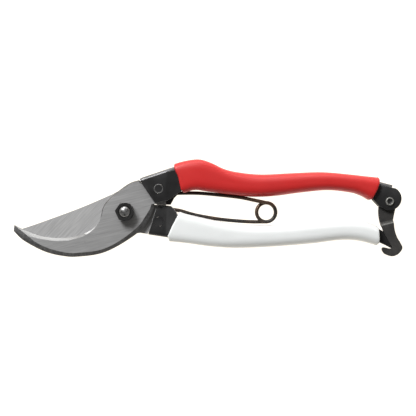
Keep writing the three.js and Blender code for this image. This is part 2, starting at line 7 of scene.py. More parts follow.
import bmesh
import bpy
import numpy as np
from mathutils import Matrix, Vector


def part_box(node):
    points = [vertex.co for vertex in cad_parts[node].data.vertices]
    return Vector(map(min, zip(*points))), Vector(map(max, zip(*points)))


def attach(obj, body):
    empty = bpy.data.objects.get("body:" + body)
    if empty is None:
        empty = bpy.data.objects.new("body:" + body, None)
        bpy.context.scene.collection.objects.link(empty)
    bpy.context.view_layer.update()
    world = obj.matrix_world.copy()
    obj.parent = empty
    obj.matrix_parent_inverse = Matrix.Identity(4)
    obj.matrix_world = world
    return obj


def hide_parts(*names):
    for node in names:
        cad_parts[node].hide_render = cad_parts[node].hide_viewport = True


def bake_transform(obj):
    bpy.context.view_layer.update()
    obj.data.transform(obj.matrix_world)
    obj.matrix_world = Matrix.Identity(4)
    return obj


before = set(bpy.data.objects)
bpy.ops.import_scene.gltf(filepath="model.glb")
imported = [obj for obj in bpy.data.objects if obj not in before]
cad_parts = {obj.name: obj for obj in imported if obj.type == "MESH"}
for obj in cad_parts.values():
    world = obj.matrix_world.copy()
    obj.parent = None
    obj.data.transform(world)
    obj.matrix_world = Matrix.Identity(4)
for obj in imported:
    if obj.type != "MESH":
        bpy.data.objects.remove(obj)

Flat = tuple[float, float]
Spot = tuple[float, float, float]
Ring = list[Spot]
Colour = tuple[float, float, float]

MM = 0.001  # metres in a millimetre
MERGE = 2e-6  # points closer than this, in metres, become one
ORDER = "order"  # the layer that holds each point's place in its ring
LOG = logging.getLogger("shears")

# Places that several pieces share, in millimetres from the pivot's axis.
PIVOT: Flat = (0.0, 0.0)
RED_RIVET: Flat = (17.2, 11.8)
WHITE_RIVET: Flat = (17.0, -5.2)
CATCH_PIN: Flat = (136.0, 5.3)


class Body(Enum):
    """The bodies that pieces ride on."""

    RED = "red_arm"
    WHITE = "white_arm"
    CATCH = "catch_body"


class Slot(Enum):
    """The record's material slots."""

    GROUND = "ground_steel"
    CUTTING = "cutting_steel"
    BLACK = "black_steel"
    FASTENER = "fastener_steel"
    SPRING = "spring_steel"
    RED = "red_vinyl"
    WHITE = "white_vinyl"


class Grain(Enum):
    """Directions of grinding lines, in degrees from +X."""

    LENGTHWISE = 13.0
    DIAGONAL = 47.0
    ALONG_EDGE = -6.0


# ---- Drawing -----------------------------------------------------------------


class Draw:
    """Flat outlines in millimetres, as lists of points."""

    SAMPLES = 16  # points worked out between two given ones
    FINE_STEPS = 160  # stretches of a line that a height is read from

    @staticmethod
    def smooth(points: Sequence[Flat], steps: int) -> list[Flat]:
        """A smooth curve through some points, evenly spaced.

        Args:
            points: the points that the curve passes through.
            steps: how many stretches the curve is divided into.

        Returns:
            steps + 1 points, with the first and last as given.
        """
        given = np.array(points, float)
        padded = np.vstack([2 * given[0] - given[1], given, 2 * given[-1] - given[-2]])
        t = np.linspace(0, 1, Draw.SAMPLES, endpoint=False)[:, None]
        runs = []
        for i in range(len(given) - 1):
            a, b, c, d = padded[i : i + 4]
            cubic = 2 * b + (c - a) * t + (2 * a - 5 * b + 4 * c - d) * t**2
            runs.append(0.5 * (cubic + (3 * b - a - 3 * c + d) * t**3))
        fine = np.vstack([*runs, given[-1:]])
        return Draw.spaced(fine, steps)

    @staticmethod
    def spaced(line: np.ndarray, steps: int) -> list[Flat]:
        """Points spaced evenly along a line of points.

        Args:
            line: the line's points, one in each row.
            steps: how many stretches it is divided into.

        Returns:
            steps + 1 points.
        """
        run = np.concatenate([[0], np.cumsum(np.linalg.norm(np.diff(line, axis=0), axis=1))])
        places = np.linspace(0, run[-1], steps + 1)
        columns = [np.interp(places, run, line[:, k]) for k in range(line.shape[1])]
        return [tuple(float(v) for v in row) for row in zip(*columns)]

    @staticmethod
    def arc(centre: Flat, radius: float, start: float, stop: float, steps: int) -> list[Flat]:
        """Points along an arc.

        Args:
            centre: its centre.
            radius: its radius.
            start: first angle in degrees from +X.
            stop: last angle in degrees.
            steps: how many stretches it has.

        Returns:
            steps + 1 points.
        """
        angles = np.radians(np.linspace(start, stop, steps + 1))
        return [(centre[0] + radius * math.cos(a), centre[1] + radius * math.sin(a)) for a in angles]

    @staticmethod
    def height(points: Sequence[Flat], x: float) -> float:
        """The height at x of the smooth line through points listed by rising x."""
        line = Draw.smooth(points, Draw.FINE_STEPS)
        return float(np.interp(x, [p[0] for p in line], [p[1] for p in line]))

    @staticmethod
    def value(stops: Sequence[Flat], share: float) -> float:
        """The value at a share of a line given by (share, value) stops."""
        return float(np.interp(share, [s[0] for s in stops], [s[1] for s in stops]))


# ---- Modelling ---------------------------------------------------------------


class Shop:
    """Mesh work, from a primitive to a finished piece."""

    DRILL_LOW = -5.0  # a drilled hole spans these levels, in millimetres
    DRILL_HIGH = 30.0

    @staticmethod
    def pick(obj: bpy.types.Object) -> bpy.types.Object:
        """Selects one object only and makes it active.

        Args:
            obj: the object.

        Returns:
            The same object.
        """
        bpy.ops.object.select_all(action="DESELECT")
        obj.select_set(True)
        bpy.context.view_layer.objects.active = obj
        return obj

    @staticmethod
    def named(name: str) -> bpy.types.Object:
        """Names the primitive just added, and moves its place into its mesh.

        Args:
            name: the name of the object and its mesh.

        Returns:
            The primitive's object.
        """
        obj = Shop.pick(bpy.context.active_object)
        obj.name = obj.data.name = name
        bpy.ops.object.transform_apply(location=True, rotation=True, scale=True)
        return obj

    @staticmethod
    def wire_ring(name: str, places: list[Spot], filled: bool = False) -> bpy.types.Object:
        """A closed ring of edges through some places, from a circle primitive.

        Args:
            name: the object's name.
            places: the places in millimetres.
            filled: whether the ring holds a face.

        Returns:
            The new object.
        """
        bpy.ops.object.select_all(action="DESELECT")
        fill = "NGON" if filled else "NOTHING"
        bpy.ops.mesh.primitive_circle_add(vertices=len(places), fill_type=fill)
        obj = Shop.named(name)
        for vertex, place in zip(obj.data.vertices, places):
            vertex.co = Vector(place) * MM
        return obj

    @staticmethod
    def loft(name: str, rings: list[Ring], looped: bool = False) -> bpy.types.Object:
        """A closed skin: a ring of edges extruded from ring to ring.

        Args:
            name: the object's name.
            rings: rings of places in millimetres, each with the same count.
            looped: True if the last ring repeats the first, so no end is filled.

        Returns:
            The new object, its faces pointing outwards.
        """
        obj = Shop.wire_ring(name, rings[0])
        bpy.ops.object.mode_set(mode="EDIT")
        mesh = bmesh.from_edit_mesh(obj.data)
        order = mesh.verts.layers.int.new(ORDER)
        for index, vertex in enumerate(mesh.verts):
            vertex[order] = index
        bpy.ops.mesh.select_all(action="SELECT")
        for ring in rings[1:]:
            bpy.ops.mesh.extrude_region_move()
            mesh = bmesh.from_edit_mesh(obj.data)
            order = mesh.verts.layers.int[ORDER]
            for vertex in mesh.verts:
                if vertex.select:
                    vertex.co = Vector(ring[vertex[order]]) * MM
        bpy.ops.mesh.select_all(action="SELECT")
        bpy.ops.mesh.remove_doubles(threshold=MERGE)
        if not looped:
            bpy.ops.mesh.select_all(action="SELECT")
            bpy.ops.mesh.fill_holes(sides=0)
        Shop.close_up()
        obj.data.attributes.remove(obj.data.attributes[ORDER])
        return obj

    @staticmethod
    def close_up() -> None:
        """Turns all faces outwards and leaves edit mode."""
        bpy.ops.mesh.select_all(action="SELECT")
        bpy.ops.mesh.normals_make_consistent(inside=False)
        bpy.ops.object.mode_set(mode="OBJECT")

    @staticmethod
    def plate(name: str, levels: list[tuple[float, list[Flat]]]) -> bpy.types.Object:
        """A plate lofted over outlines of equal count at rising levels."""
        return Shop.loft(name, [[(x, y, z) for x, y in outline] for z, outline in levels])

    @staticmethod
    def turned(name: str, profile: list[Flat], centre: Flat = (0, 0), steps: int = 72) -> bpy.types.Object:
        """A body turned on an upright axis: its profile spun once round.

        Args:
            name: the object's name.
            profile: (radius, z) points of the closed profile.
            centre: where the axis stands.
            steps: facets around.

        Returns:
            The new object.
        """
        obj = Shop.wire_ring(name, [(centre[0] + radius, centre[1], z) for radius, z in profile])
        bpy.ops.object.mode_set(mode="EDIT")
        bpy.ops.mesh.select_all(action="SELECT")
        axis_foot = (centre[0] * MM, centre[1] * MM, 0)
        bpy.ops.mesh.spin(steps=steps, angle=math.tau, center=axis_foot, axis=(0, 0, 1))
        bpy.ops.mesh.select_all(action="SELECT")
        bpy.ops.mesh.remove_doubles(threshold=MERGE)
        bpy.ops.mesh.delete_loose(use_verts=True, use_edges=True, use_faces=False)
        Shop.close_up()
        return obj

    @staticmethod
    def bar(
        name: str, centre: Flat, radius: float, low: float, high: float, sides: int = 64
    ) -> bpy.types.Object:
        """An upright cylinder primitive between two levels.

        Args:
            name: the object's name.
            centre: where the axis stands.
            radius: its radius in millimetres.
            low: level of its foot in millimetres.
            high: level of its top.
            sides: facets around.

        Returns:
            The new object.
        """
        bpy.ops.object.select_all(action="DESELECT")
        place = (centre[0] * MM, centre[1] * MM, (low + high) / 2 * MM)
        bpy.ops.mesh.primitive_cylinder_add(
            vertices=sides, radius=radius * MM, depth=(high - low) * MM, location=place)
        return Shop.named(name)

    @staticmethod
    def copy(obj: bpy.types.Object, move: Spot) -> bpy.types.Object:
        """A copy with its own mesh.

        Args:
            obj: the object to copy.
            move: how far the copy is moved, in millimetres.

        Returns:
            The copy.
        """
        Shop.pick(obj)
        bpy.ops.object.duplicate()
        bpy.ops.transform.translate(value=Vector(move) * MM)
        twin = Shop.pick(bpy.context.active_object)
        bpy.ops.object.transform_apply(location=True, rotation=True, scale=True)
        return twin

    @staticmethod
    def clean(obj: bpy.types.Object) -> None:
        """Removes faces that joining or rounding left without an area.

        Args:
            obj: the object.
        """
        Shop.pick(obj)
        bpy.ops.object.mode_set(mode="EDIT")
        bpy.ops.mesh.select_all(action="SELECT")
        bpy.ops.mesh.dissolve_degenerate(threshold=MERGE)
        Shop.close_up()

    @staticmethod
    def apply(obj: bpy.types.Object, kind: str, **settings: object) -> None:
        """Adds one modifier and applies it.

        Args:
            obj: the object.
            kind: the modifier's type.
            settings: values of the modifier's own settings, by name.
        """
        Shop.pick(obj)
        bpy.ops.object.modifier_add(type=kind)
        modifier = obj.modifiers[-1]
        for key, value in settings.items():
            setattr(modifier, key, value)
        bpy.ops.object.modifier_apply(modifier=modifier.name)

    @staticmethod
    def combine(obj: bpy.types.Object, other: bpy.types.Object, operation: str) -> None:
        """Joins `other` to obj, or cuts it away, and removes `other`."""
        Shop.apply(obj, "BOOLEAN", object=other, operation=operation, solver="EXACT")
        bpy.data.objects.remove(other)

    @staticmethod
    def drill(obj: bpy.types.Object, centre: Flat, radius: float) -> None:
        """Cuts an upright round hole right through."""
        Shop.combine(obj, Shop.bar("drill", centre, radius, Shop.DRILL_LOW, Shop.DRILL_HIGH), "DIFFERENCE")

    @staticmethod
    def soften(
        obj: bpy.types.Object, width: float, segments: int = 2, angle: float = 30, slot: int = -1
    ) -> None:
        """Rounds the sharp edges.

        Args:
            obj: the object.
            width: width of the rounding in millimetres.
            segments: faces across it.
            angle: edges sharper than this many degrees are rounded.
            slot: material slot of the new faces, or -1 for their neighbours'.
        """
        Shop.apply(
            obj, "BEVEL", width=width * MM, segments=segments, limit_method="ANGLE",
            angle_limit=math.radians(angle), material=slot, use_clamp_overlap=True)

    @staticmethod
    def shade(obj: bpy.types.Object, angle: float = 32, flat_faces: bool = True) -> None:
        """Shades smooth across gentle edges.

        Args:
            obj: the object.
            angle: edges flatter than this many degrees are smoothed.
            flat_faces: whether large faces keep their flat look up to their edges.
        """
        Shop.pick(obj)
        bpy.ops.object.shade_smooth_by_angle(angle=math.radians(angle))
        if flat_faces:
            Shop.apply(obj, "WEIGHTED_NORMAL", mode="FACE_AREA", weight=95, keep_sharp=True)

    @staticmethod
    def zone(obj: bpy.types.Object, slot: int, test: Callable[[Vector, Vector], bool]) -> None:
        """Gives a material slot to the faces that pass a test.

        Args:
            obj: the object.
            slot: index of the material slot.
            test: takes a face's centre in millimetres and its normal.
        """
        for face in obj.data.polygons:
            if test(face.center / MM, face.normal):
                face.material_index = slot


# ---- Finishes ----------------------------------------------------------------


class Sheet:
    """A material's node tree, with short ways to add nodes."""

    def __init__(self, name: str) -> None:
        """Starts a material with one Principled shader.

        Args:
            name: the material's name.
        """
        self.material = bpy.data.materials.new(name)
        self.material.use_nodes = True
        self.tree = self.material.node_tree
        self.shader = self.tree.nodes["Principled BSDF"]
        self.place = self.tree.nodes.new("ShaderNodeTexCoord").outputs["Object"]

    def set(self, **values: object) -> None:
        """Sets values on the shader's own sockets, named with _ for spaces."""
        for key, value in values.items():
            self.shader.inputs[key.replace("_", " ")].default_value = value

    def link(self, output: bpy.types.NodeSocket, node: bpy.types.Node, socket: str | int) -> None:
        """Joins an output to a node's input."""
        self.tree.links.new(output, node.inputs[socket])

    def noise(self, scale: Spot, turn: float, detail: float, rough: float = 0.55) -> bpy.types.NodeSocket:
        """A noise pattern.

        Args:
            scale: how often it repeats per metre along the turned X, Y and Z.
            turn: degrees about Z.
            detail: octaves.
            rough: strength of the finer octaves.

        Returns:
            The pattern's value, about 0.5.
        """
        turned = self.tree.nodes.new("ShaderNodeMapping")
        turned.inputs["Rotation"].default_value = (0, 0, math.radians(-turn))
        self.link(self.place, turned, "Vector")
        mapping = self.tree.nodes.new("ShaderNodeMapping")
        mapping.inputs["Scale"].default_value = scale
        self.link(turned.outputs[0], mapping, "Vector")
        texture = self.tree.nodes.new("ShaderNodeTexNoise")
        texture.inputs["Scale"].default_value = 1.0
        texture.inputs["Detail"].default_value = detail
        texture.inputs["Roughness"].default_value = rough
        self.link(mapping.outputs[0], texture, "Vector")
        return texture.outputs["Fac"]

    def ramp(self, value: bpy.types.NodeSocket, start: Flat, stop: Flat) -> bpy.types.NodeSocket:
        """A value mapped to another range and kept within it.

        Args:
            value: the value to map.
            start: the value where the range starts, and what it becomes.
            stop: the value where the range stops, and what it becomes.

        Returns:
            The mapped value.
        """
        node = self.tree.nodes.new("ShaderNodeMapRange")
        node.clamp = True
        numbers = (start[0], stop[0], start[1], stop[1])
        for key, number in zip(("From Min", "From Max", "To Min", "To Max"), numbers):
            node.inputs[key].default_value = number
        self.link(value, node, "Value")
        return node.outputs[0]

    def blend(self, share: bpy.types.NodeSocket, first: object, second: object) -> bpy.types.NodeSocket:
        """A colour between two others.

        Args:
            share: share of the second colour, from 0 to 1.
            first: a colour, or a socket that gives one.
            second: another colour or socket.

        Returns:
            The blended colour.
        """
        node = self.tree.nodes.new("ShaderNodeMix")
        node.data_type = "RGBA"
        self.link(share, node, "Factor")
        for socket, colour in ((node.inputs[6], first), (node.inputs[7], second)):
            if isinstance(colour, tuple):
                socket.default_value = (*colour, 1)
            else:
                self.tree.links.new(colour, socket)
        return node.outputs[2]

    def mean(
        self, first: bpy.types.NodeSocket, second: bpy.types.NodeSocket, share: float
    ) -> bpy.types.NodeSocket:
        """A weighted mean of two values.

        Args:
            first: one value.
            second: the other value.
            share: the second value's share, from 0 to 1.

        Returns:
            The mean.
        """
        node = self.tree.nodes.new("ShaderNodeMix")
        node.inputs[0].default_value = share
        self.tree.links.new(first, node.inputs[2])
        self.tree.links.new(second, node.inputs[3])
        return node.outputs[0]

    def finish(
        self, colour: bpy.types.NodeSocket, roughness: bpy.types.NodeSocket, relief: bpy.types.NodeSocket,
        depth: float, strength: float,
    ) -> bpy.types.Material:
        """Joins colour, roughness and relief to the shader.

        Args:
            colour: the base colour.
            roughness: the roughness.
            relief: the value that raises the surface.
            depth: how far it is raised, in millimetres.
            strength: how much of that shows.

        Returns:
            The finished material.
        """
        bump = self.tree.nodes.new("ShaderNodeBump")
        bump.inputs["Strength"].default_value = strength
        bump.inputs["Distance"].default_value = depth * MM
        self.link(relief, bump, "Height")
        self.link(bump.outputs[0], self.shader, "Normal")
        self.link(colour, self.shader, "Base Color")
        self.link(roughness, self.shader, "Roughness")
        return self.material


def shaded(colour: Colour, factor: float) -> Colour:
    """A colour made lighter or darker."""
    return tuple(min(1.0, part * factor) for part in colour)


@dataclass(frozen=True)
class GroundSteel:
    """Bare steel with grinding lines and faint handling marks."""

    name: str
    colour: Colour
    grain: Grain
    roughness: float = 0.5
    contrast: float = 0.14
    metallic: float = 0.6
    coarse_pitch: float = 1400.0

    def build(self) -> bpy.types.Material:
        """Builds the finish.

        Returns:
            The material.
        """
        sheet = Sheet(self.name)
        turn = self.grain.value
        coarse = sheet.noise((60, self.coarse_pitch, 60), turn, detail=2.5)
        fine = sheet.noise((140, 4200, 140), turn, detail=2.0)
        patches = sheet.noise((75, 120, 90), turn, detail=3.0)
        marks = sheet.noise((420, 420, 420), turn=0, detail=2.0)
        lines = sheet.mean(coarse, fine, 0.45)
        dark, light = shaded(self.colour, 1 - self.contrast), shaded(self.colour, 1 + self.contrast)
        streaks = sheet.blend(sheet.ramp(lines, (0.34, 0.0), (0.66, 1.0)), dark, light)
        cloudy = sheet.ramp(patches, (0.4, 0.0), (0.75, 0.45))
        clouded = sheet.blend(cloudy, streaks, shaded(self.colour, 0.8))
        scratched = sheet.ramp(marks, (0.68, 0.0), (0.78, 0.35))
        marked = sheet.blend(scratched, clouded, shaded(self.colour, 0.6))
        rough = sheet.ramp(lines, (0.3, self.roughness + 0.06), (0.7, self.roughness - 0.05))
        sheet.set(Metallic=self.metallic)
        return sheet.finish(marked, rough, lines, depth=0.02, strength=0.5)


@dataclass(frozen=True)
class ForgedSteel:
    """Forge-dark steel, grainy and a little uneven."""

    name: str
    colour: Colour = (0.11, 0.11, 0.111)

    def build(self) -> bpy.types.Material:
        """Builds the finish.

        Returns:
            The material.
        """
        sheet = Sheet(self.name)
        scale = sheet.noise((700, 700, 700), turn=0, detail=4.0, rough=0.65)
        cloud = sheet.noise((90, 90, 90), turn=0, detail=3.0)
        dark = sheet.blend(
            sheet.ramp(scale, (0.35, 0.0), (0.7, 1.0)), shaded(self.colour, 0.6), shaded(self.colour, 1.5))
        colour = sheet.blend(sheet.ramp(cloud, (0.4, 0.0), (0.75, 0.5)), dark, shaded(self.colour, 0.55))
        sheet.set(Metallic=0.5)
        rough = sheet.ramp(scale, (0.3, 0.45), (0.7, 0.62))
        return sheet.finish(colour, rough, scale, depth=0.05, strength=0.5)


@dataclass(frozen=True)
class BlackCoat:
    """Satin black coating on pressed steel."""

    name: str
    colour: Colour = (0.012, 0.012, 0.0125)
    roughness: float = 0.36
    gloss: float = 0.5
    cloudiness: float = 1.5
    tint: Colour = (1.0, 1.0, 1.0)

    def build(self) -> bpy.types.Material:
        """Builds the finish.

        Returns:
            The material.
        """
        sheet = Sheet(self.name)
        peel = sheet.noise((1500, 1500, 1500), turn=0, detail=2.0)
        cloud = sheet.noise((110, 110, 110), turn=0, detail=4.0)
        bright = tuple(a * b for a, b in zip(shaded(self.colour, self.cloudiness), self.tint))
        colour = sheet.blend(sheet.ramp(cloud, (0.35, 0.0), (0.72, 1.0)), shaded(self.colour, 0.85), bright)
        rough = sheet.ramp(cloud, (0.3, self.roughness - 0.04), (0.7, self.roughness + 0.07))
        sheet.set(Metallic=0.0, Specular_IOR_Level=self.gloss)
        return sheet.finish(colour, rough, peel, depth=0.02, strength=0.3)


@dataclass(frozen=True)
class WearAndSheenBlack:
    """Black coating with grey streaks: rubbed steel on worn folds, and a painted highlight on lit edges,
    slopes and rims.
    """

    name: str
    dark: Colour = (0.03, 0.03, 0.031)
    light: Colour = (0.15, 0.15, 0.154)
    turn: float = 17.0
    cover: float = 0.5
    roughness: float = 0.36

    def build(self) -> bpy.types.Material:
        """Builds the finish.

        Returns:
            The material.
        """
        sheet = Sheet(self.name)
        streak = sheet.noise((60, 1700, 1700), turn=self.turn, detail=3.0, rough=0.6)
        spots = sheet.noise((600, 900, 900), turn=0, detail=3.0)
        both = sheet.mean(streak, spots, 0.3)
        share = sheet.ramp(both, (self.cover - 0.12, 1.0), (self.cover + 0.14, 0.0))
        rough = sheet.ramp(both, (0.35, self.roughness - 0.04), (0.65, self.roughness + 0.12))
        sheet.set(Metallic=0.5)
        return sheet.finish(sheet.blend(share, self.dark, self.light), rough, both, depth=0.02, strength=0.4)


@dataclass(frozen=True)
class PolishedEnd:
    """The bolt's bright domed end, with faint tool marks."""

    name: str
    colour: Colour = (0.3, 0.3, 0.3)

    def build(self) -> bpy.types.Material:
        """Builds the finish.

        Returns:
            The material.
        """
        sheet = Sheet(self.name)
        dents = sheet.noise((900, 900, 900), turn=0, detail=3.0)
        colour = sheet.blend(
            sheet.ramp(dents, (0.4, 0.0), (0.65, 1.0)), shaded(self.colour, 0.55), shaded(self.colour, 1.3))
        sheet.set(Metallic=0.9)
        rough = sheet.ramp(dents, (0.3, 0.26), (0.7, 0.4))
        return sheet.finish(colour, rough, dents, depth=0.06, strength=0.35)


@dataclass(frozen=True)
class SpringWire:
    """Oil-tempered wire, dark with a brown bloom and drawn lines."""

    name: str
    colour: Colour = (0.035, 0.032, 0.03)
    bloom: Colour = (0.1, 0.06, 0.036)

    def build(self) -> bpy.types.Material:
        """Builds the finish.

        Returns:
            The material.
        """
        sheet = Sheet(self.name)
        drawn = sheet.noise((90, 2600, 2600), turn=0, detail=2.0)
        tint = sheet.noise((70, 160, 160), turn=0, detail=3.0)
        colour = sheet.blend(sheet.ramp(tint, (0.42, 0.0), (0.62, 0.9)), self.colour, self.bloom)
        sheet.set(Metallic=0.55)
        rough = sheet.ramp(drawn, (0.3, 0.34), (0.7, 0.5))
        return sheet.finish(colour, rough, drawn, depth=0.01, strength=0.4)


@dataclass(frozen=True)
class Vinyl:
    """Smooth soft vinyl with a faint moulded grain."""

    name: str
    colour: Colour
    deep: Colour
    roughness: float = 0.38
    gloss: float = 0.5

    def build(self) -> bpy.types.Material:
        """Builds the finish.

        Returns:
            The material.
        """
        sheet = Sheet(self.name)
        skin = sheet.noise((2400, 2400, 2400), turn=0, detail=2.0)
        cloud = sheet.noise((45, 60, 60), turn=0, detail=3.0)
        wave = sheet.noise((110, 220, 220), turn=0, detail=2.0)
        colour = sheet.blend(sheet.ramp(cloud, (0.3, 0.0), (0.75, 1.0)), self.colour, self.deep)
        rough = sheet.ramp(wave, (0.3, self.roughness - 0.03), (0.7, self.roughness + 0.05))
        sheet.set(Metallic=0.0, Specular_IOR_Level=self.gloss)
        return sheet.finish(colour, rough, sheet.mean(skin, wave, 0.4), depth=0.02, strength=0.4)


class Finishes:
    """Every finish of the shears, built once."""

    def __init__(self) -> None:
        """Builds the materials."""
        self.counter_face = GroundSteel(
            "counter_ground", (0.325, 0.325, 0.327), Grain.LENGTHWISE, contrast=0.22).build()
        self.cutting_face = GroundSteel(
            "cutting_ground", (0.43, 0.43, 0.432), Grain.DIAGONAL, contrast=0.24, coarse_pitch=1500).build()
        self.edge_bevel = GroundSteel(
            "edge_bevel", (0.27, 0.27, 0.27), Grain.ALONG_EDGE, roughness=0.42, contrast=0.06,
            metallic=0.5).build()
        # Lighter, slightly smoother steel for the bevel's stretch nearest the pivot: its light colour is a
        # painted glint.
        self.glint = GroundSteel(
            "edge_painted_glint", (0.62, 0.62, 0.62), Grain.ALONG_EDGE, roughness=0.38, contrast=0.05,
            metallic=0.5).build()
        self.forged = ForgedSteel("forge_dark").build()
        self.coat = BlackCoat("black_coat").build()
        self.worn = WearAndSheenBlack("worn_fold").build()
        # Rounded edges and the red rivet's rim: rubbed grey steel, made lighter as a painted highlight.
        self.rim = WearAndSheenBlack(
            "worn_rim_and_sheen", dark=(0.04, 0.04, 0.04), light=(0.26, 0.26, 0.26), cover=0.52, roughness=0.3).build()
        # Light grey for the white channel's upper rounded edges: a painted highlight, streaked like rubbed
        # steel.
        self.painted_highlight_rim = WearAndSheenBlack(
            "painted_highlight_rim", dark=(0.14, 0.14, 0.14), light=(0.55, 0.55, 0.55), cover=0.6,
            roughness=0.32).build()
        self.catch_coat = BlackCoat(
            "catch_coat", (0.028, 0.0275, 0.027), roughness=0.5, gloss=0.4, cloudiness=1.7,
            tint=(1.0, 0.96, 0.9)).build()
        # A lighter coat for the catch's joggle slopes: a painted highlight of the lit band, streaked like
        # rubbed steel.
        self.joggle = WearAndSheenBlack(
            "joggle_painted_highlight", dark=(0.045, 0.045, 0.043), light=(0.11, 0.11, 0.105), roughness=0.45).build()
        # Light grey for the catch rivet's rolled rims: a painted highlight ring.
        self.catch_rim_highlight = WearAndSheenBlack(
            "catch_rim_highlight", dark=(0.12, 0.12, 0.112), light=(0.32, 0.32, 0.3), roughness=0.4).build()
        self.fastener = BlackCoat("fastener_black", (0.014, 0.014, 0.014), roughness=0.3).build()
        self.bolt_end = PolishedEnd("bolt_end").build()
        self.wire = SpringWire("oil_tempered_wire").build()
        self.red = Vinyl(
            "red_vinyl_skin", (0.53, 0.019, 0.018), (0.48, 0.016, 0.016), roughness=0.42, gloss=0.38).build()
        self.white = Vinyl(
            "white_vinyl_skin", (0.75, 0.77, 0.77), (0.72, 0.74, 0.74), roughness=0.4, gloss=0.4).build()


# ---- What the assemblies share --------------------------------------------------


@dataclass(frozen=True)
class Levels:
    """Heights that the assemblies share, in millimetres, read from the frame."""

    cutting_low: float
    cutting_high: float
    counter_low: float
    counter_high: float
    middle: float

    @classmethod
    def read(cls) -> "Levels":
        """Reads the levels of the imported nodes.

        Returns:
            The levels.
        """
        cutting, counter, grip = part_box("cutting_blade"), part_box("counter_blade"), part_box("red_grip")
        return cls(
            cutting[0][2] / MM, cutting[1][2] / MM, counter[0][2] / MM, counter[1][2] / MM,
            (grip[0][2] + grip[1][2]) / 2 / MM)

    @property
    def counter_middle(self) -> float:
        """Mid-thickness of the counter blade."""
        return (self.counter_low + self.counter_high) / 2

    @property
    def cutting_middle(self) -> float:
        """Mid-thickness of the cutting blade."""
        return (self.cutting_low + self.cutting_high) / 2


@dataclass(frozen=True)
class Assembly:
    """A sub-assembly, which hands its pieces to the frame."""

    levels: Levels
    finishes: Finishes

    @staticmethod
    def hand_over(obj: bpy.types.Object, node: str, body: Body, slot: Slot) -> None:
        """Makes a piece stand for a CAD node on a body.

        Args:
            obj: the finished piece.
            node: the CAD node that it replaces.
            body: the body that it rides on.
            slot: the record's material slot; not used.
        """
        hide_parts(node)
        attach(obj, body.value)
        LOG.info("%s: %d faces, stands for %s", obj.name, len(obj.data.polygons), node)

    @staticmethod
    def dress(obj: bpy.types.Object, *materials: bpy.types.Material) -> None:
        """Fills the material slots in order.

        Args:
            obj: the piece.
            materials: its materials, the first for every face without a zone.
        """
        obj.data.materials.clear()
        for material in materials:
            obj.data.materials.append(material)


# ---- Blades --------------------------------------------------------------------


